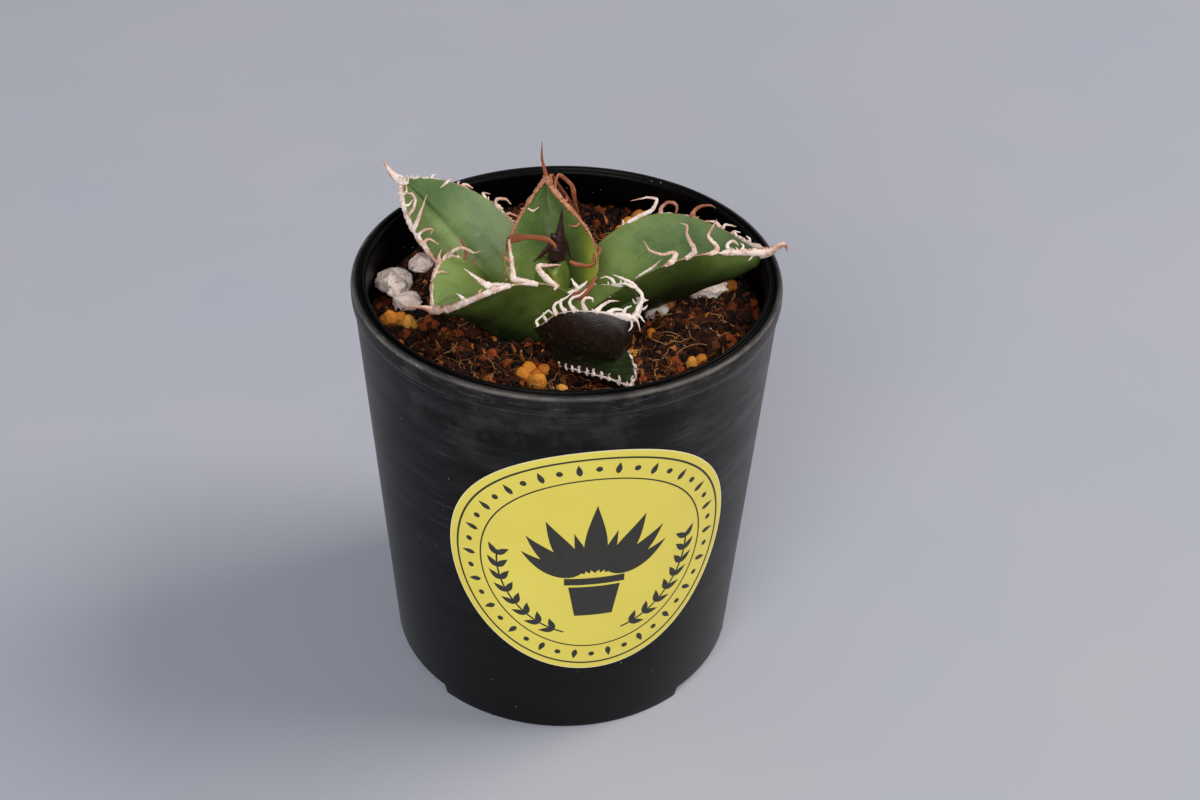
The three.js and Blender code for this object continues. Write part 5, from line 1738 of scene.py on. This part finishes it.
def make_grains(settings):
    shield = leaf_shield()
    grains = strewing_tree("strew_grains")
    threads = strewing_tree("strew_fibres", fibre=True)
    sheets = {radius: seed_bed(shield, radius) for radius in (35.5, 39.6, 40.4)}
    # name, tree, radius of its sheet, number in a square centimetre, smallest and largest size,
    # flatness, stretch, unevenness, skew, faces round a grain, then its material
    kinds = (
        ("dark_crumbs", grains, 40.4, settings.fines, 0.6, 2.2, 0.75, 1.3, 0.9, 1.5, 5,
         crumb("dark_peat_crumbs", "#0b0503", "#1d0e07", "#4f260f")),
        ("red_crumbs", grains, 39.6, settings.crumbs, 0.8, 3.2, 0.75, 1.3, 1.8, 2.6, 8,
         crumb("fired_clay_crumbs", "#150803", "#38170a", "#94461a")),
        ("bark_pieces", grains, 39.6, settings.chips, 0.8, 2.8, 0.3, 2.3, 1.2, 1.8, 6,
         crumb("bark_chips", "#1c0d06", "#4a2411", "#a86a38")),
        ("amber_granules", grains, 39.6, 1.0, 1.2, 3.0, 0.9, 1.1, 0.8, 1.2, 10,
         crumb("amber_clay_granules", "#a4581a", "#d88526", "#ecab48", 0.7)),
        ("white_bits", grains, 39.6, 3.6, 0.4, 1.8, 0.8, 1.2, 0.7, 2.0, 7,
         crumb("pumice_bits", "#b09a8c", "#ddd2ca", "#f3ece4")),
        ("coir_threads", threads, 35.5, settings.fibres, 3.0, 11.0, 0.5, 1.0, 3.4, 1.8, 6,
         crumb("coir_fibres", "#3f1f0c", "#7a4620", "#c2945a", 0.75)),
    )
    for number, kind in enumerate(kinds):
        name, tree, radius, density, *shape, look = kind
        smallest, largest, flatness, stretch, unevenness, skew, faces = shape
        strew(name, tree, sheets[radius], look, Density=density * PER_SQUARE_CM,
              Seed=settings.seed + number, Smallest=smallest * MM, Largest=largest * MM,
              Flatness=flatness, Stretch=stretch, Unevenness=unevenness * MM, Skew=skew, Faces=faces)


# ---------- stones ----------
def ico_points(level):
    """Points and faces of a ball of triangles."""
    ball = bmesh.new()
    bmesh.ops.create_icosphere(ball, subdivisions=level, radius=1.0)
    ball.verts.ensure_lookup_table()
    points = np.array([v.co for v in ball.verts])
    faces = [tuple(v.index for v in f.verts) for f in ball.faces]
    ball.free()
    return points, faces


def lump(shell, ball, middle, halves, turn, seed, facets, pits, tint=0.5, worn=0.4):
    """A broken lump: a ball cut by a few flat faces and pitted. worn is how far its corners have gone."""
    points, faces = ball
    halves = np.array(halves)
    rx, ry, rz = (Matrix.Rotation(math.radians(a), 3, axis) for a, axis in zip(turn, "XYZ"))
    draw = random.Random(seed)
    cuts = []
    for _ in range(facets):
        n = np.array([draw.gauss(0, 1) for _ in range(3)])
        cuts.append((n / np.linalg.norm(n), draw.uniform(0.72, 0.93)))
    offset = Vector((seed * 3.1, seed * 1.7, 0))
    moved = []
    for p in points:
        scale = 1.12
        for n, reach in cuts:
            d = float(n.dot(p)) * scale
            if d > reach:
                scale *= reach / d
        q = p * lerp(scale, 0.96, worn)
        v = Vector(q * halves)
        rough = noise.noise(v * 0.55 + offset) * 0.15 + noise.noise(v * 1.5 + offset) * 0.06
        pit = noise.voronoi(v * 1.3 + offset)[0][0]
        rough -= pits * max(0.0, 0.35 - pit)
        moved.append(q * (1 + rough) * halves)
    world = np.array(moved) @ np.array(rz @ ry @ rx).T + np.array(middle)
    shell.add(world, faces, grain_tint=tint)


def make_stones():
    ball = ico_points(5)
    stone = pumice_stone()
    for i, (x, y, above, hx, hy, hz, turn) in enumerate(PUMICE):
        shell = Shell()
        halves = (hx * STONE_SWELL, hy * STONE_SWELL, hz * STONE_SWELL)
        lump(shell, ball, (x, y, soil_height(x, y) + above), halves, (12, -9, turn), 40 + i, 9, 0.16,
             worn=0.12)
        piece = shell.piece(f"stone_{i + 1}", stone)
        hand_over(piece, "pumice_stone", f"pumice_{i + 1}")
    amber = crumb("amber_clay_granule_clusters", "#a96020", "#d4872c", "#e4a548", 0.68)
    small = ico_points(4)
    for i, (x, y, count, size) in enumerate(GRIT):
        draw = seeded_share(70 + i)
        shell = Shell()
        for k in range(count):
            far = 0 if k == 0 else size * (0.75 + 0.42 * math.sqrt(k))
            dx, dy = polar(far, k * 2.4 + i)
            r = size * (0.8 + 0.35 * draw())
            for _ in range(12):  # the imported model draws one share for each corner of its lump
                draw()
            turn = (60 * draw(), 60 * draw(), 360 * draw())
            middle = (x + dx, y + dy, soil_height(x + dx, y + dy) + 0.7)
            lump(shell, small, middle, (r * 1.12, r, r * 0.96), turn, 90 + 7 * i + k, 3, 0.1,
                 0.2 + 0.7 * ((k * 0.37 + i * 0.21) % 1))
        piece = shell.piece(f"granules_{i + 1}", amber)
        hand_over(piece, "clay_grit", f"grit_{i + 1}")


# ---------- stage ----------
def make_camera():
    """The photograph's viewing angle: from 0.41 m, looking down 37 degrees."""
    camera = bpy.data.objects.new("camera", bpy.data.cameras.new("camera"))
    camera.data.lens = 50.24
    camera.data.sensor_width = 36.0
    camera.data.clip_start = 0.01
    camera.location = (0, -0.295468, 0.285233)
    camera.rotation_euler = [math.radians(turn) for turn in (52.9934, -1.427, -0.4044)]
    bpy.context.scene.collection.objects.link(camera)
    bpy.context.scene.camera = camera


def soft_light(name, place, size, power, tint):
    """A square soft light aimed at the foot of the pot."""
    lamp = bpy.data.lights.new(name, "AREA")
    lamp.shape = "SQUARE"
    lamp.size = size
    lamp.energy = power
    lamp.color = colour(tint)[:3]
    item = bpy.data.objects.new(name, lamp)
    item.location = place
    aim = Vector((0, 0, 0.03)) - Vector(place)
    item.rotation_euler = aim.to_track_quat("-Z", "Y").to_euler()
    bpy.context.scene.collection.objects.link(item)


def make_stage(settings):
    scene = bpy.context.scene
    scene.view_settings.view_transform = "Standard"
    world = bpy.data.worlds.new("soft_room")
    world.use_nodes = True
    sky = world.node_tree.nodes["Background"]
    sky.inputs["Color"].default_value = colour("#dde1ef")
    sky.inputs["Strength"].default_value = settings.sky
    scene.world = world
    far = FLOOR_HALF
    floor = mesh_piece(
        "paper_floor", [(-far, -far, 0), (far, -far, 0), (far, far, 0), (-far, far, 0)],
        [(0, 1, 2, 3)], studio_paper(settings), smooth=False)
    soft_light("key_light", (1.9, 0.35, 2.0), 1.5, settings.key_power, "#fff4ea")
    soft_light("front_fill", (-0.5, -1.8, 1.2), 1.4, settings.fill_power, "#fbf8f6")


# ---------- operators ----------
class AGAVE_OT_camera(bpy.types.Operator):
    """Set the camera at the photograph's viewing angle"""

    bl_idname = "agave.camera"
    bl_label = "Camera"

    def execute(self, context):
        make_camera()
        return {"FINISHED"}


class AGAVE_OT_stage(bpy.types.Operator):
    """Lay the plain floor and set the soft lights"""

    bl_idname = "agave.stage"
    bl_label = "Stage"

    def execute(self, context):
        make_stage(context.scene.agave_stage)
        return {"FINISHED"}


class AGAVE_OT_pot(bpy.types.Operator):
    """Make the nursery pot with its grooved lip, notched foot and drainage holes"""

    bl_idname = "agave.pot"
    bl_label = "Pot"

    def execute(self, context):
        make_pot(context.scene.agave_pot)
        return {"FINISHED"}


class AGAVE_OT_sticker(bpy.types.Operator):
    """Make the round film and its print"""

    bl_idname = "agave.sticker"
    bl_label = "Sticker"

    def execute(self, context):
        make_film(context.scene.agave_sticker)
        make_print(context.scene.agave_sticker)
        return {"FINISHED"}


class AGAVE_OT_blades(bpy.types.Operator):
    """Make the fleshy blades of the seven leaves"""

    bl_idname = "agave.blades"
    bl_label = "Leaf blades"

    def execute(self, context):
        make_blades()
        return {"FINISHED"}


class AGAVE_OT_margins(bpy.types.Operator):
    """Make the horny margins with their teeth, strands and end spines"""

    bl_idname = "agave.margins"
    bl_label = "Horny margins"

    def execute(self, context):
        make_margins()
        return {"FINISHED"}


class AGAVE_OT_crown(bpy.types.Operator):
    """Make the short stem between the leaf bases"""

    bl_idname = "agave.crown"
    bl_label = "Crown"

    def execute(self, context):
        make_crown()
        return {"FINISHED"}


class AGAVE_OT_stones(bpy.types.Operator):
    """Make the pumice stones and the clusters of clay granules"""

    bl_idname = "agave.stones"
    bl_label = "Stones and granules"

    def execute(self, context):
        make_stones()
        return {"FINISHED"}


class AGAVE_OT_mix(bpy.types.Operator):
    """Make the potting mix and strew its crumbs, chips and fibres"""

    bl_idname = "agave.mix"
    bl_label = "Potting mix"

    def execute(self, context):
        make_bed(context.scene.agave_soil)
        make_grains(context.scene.agave_soil)
        return {"FINISHED"}


class AGAVE_PT_pieces(bpy.types.Panel):
    bl_idname = "AGAVE_PT_pieces"
    bl_label = "Potted agave"
    bl_space_type = "VIEW_3D"
    bl_region_type = "UI"
    bl_category = "Agave"

    def draw(self, context):
        for operator in OPERATORS:
            self.layout.operator(operator.bl_idname)
        for key in ("agave_pot", "agave_sticker", "agave_soil", "agave_stage"):
            group = getattr(context.scene, key)
            box = self.layout.box()
            for name in group.bl_rna.properties.keys():
                if name not in {"rna_type", "name"}:
                    box.prop(group, name)


SETTINGS = {
    "agave_pot": AgavePotSettings, "agave_sticker": AgaveStickerSettings,
    "agave_soil": AgaveSoilSettings, "agave_stage": AgaveStageSettings,
}
OPERATORS = (
    AGAVE_OT_camera, AGAVE_OT_stage, AGAVE_OT_pot, AGAVE_OT_sticker, AGAVE_OT_blades,
    AGAVE_OT_margins, AGAVE_OT_crown, AGAVE_OT_stones, AGAVE_OT_mix,
)


def register():
    for key, group in SETTINGS.items():
        bpy.utils.register_class(group)
        setattr(bpy.types.Scene, key, PointerProperty(type=group))
    for operator in OPERATORS:
        bpy.utils.register_class(operator)
    bpy.utils.register_class(AGAVE_PT_pieces)


def unregister():
    bpy.utils.unregister_class(AGAVE_PT_pieces)
    for operator in reversed(OPERATORS):
        bpy.utils.unregister_class(operator)
    for key, group in SETTINGS.items():
        delattr(bpy.types.Scene, key)
        bpy.utils.unregister_class(group)


def main():
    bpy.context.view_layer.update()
    register()
    bpy.ops.agave.camera()
    bpy.ops.agave.stage()
    bpy.ops.agave.pot()
    bpy.ops.agave.sticker()
    bpy.ops.agave.blades()
    bpy.ops.agave.margins()
    bpy.ops.agave.crown()
    bpy.ops.agave.stones()
    bpy.ops.agave.mix()


if __name__ == "__main__":
    main()
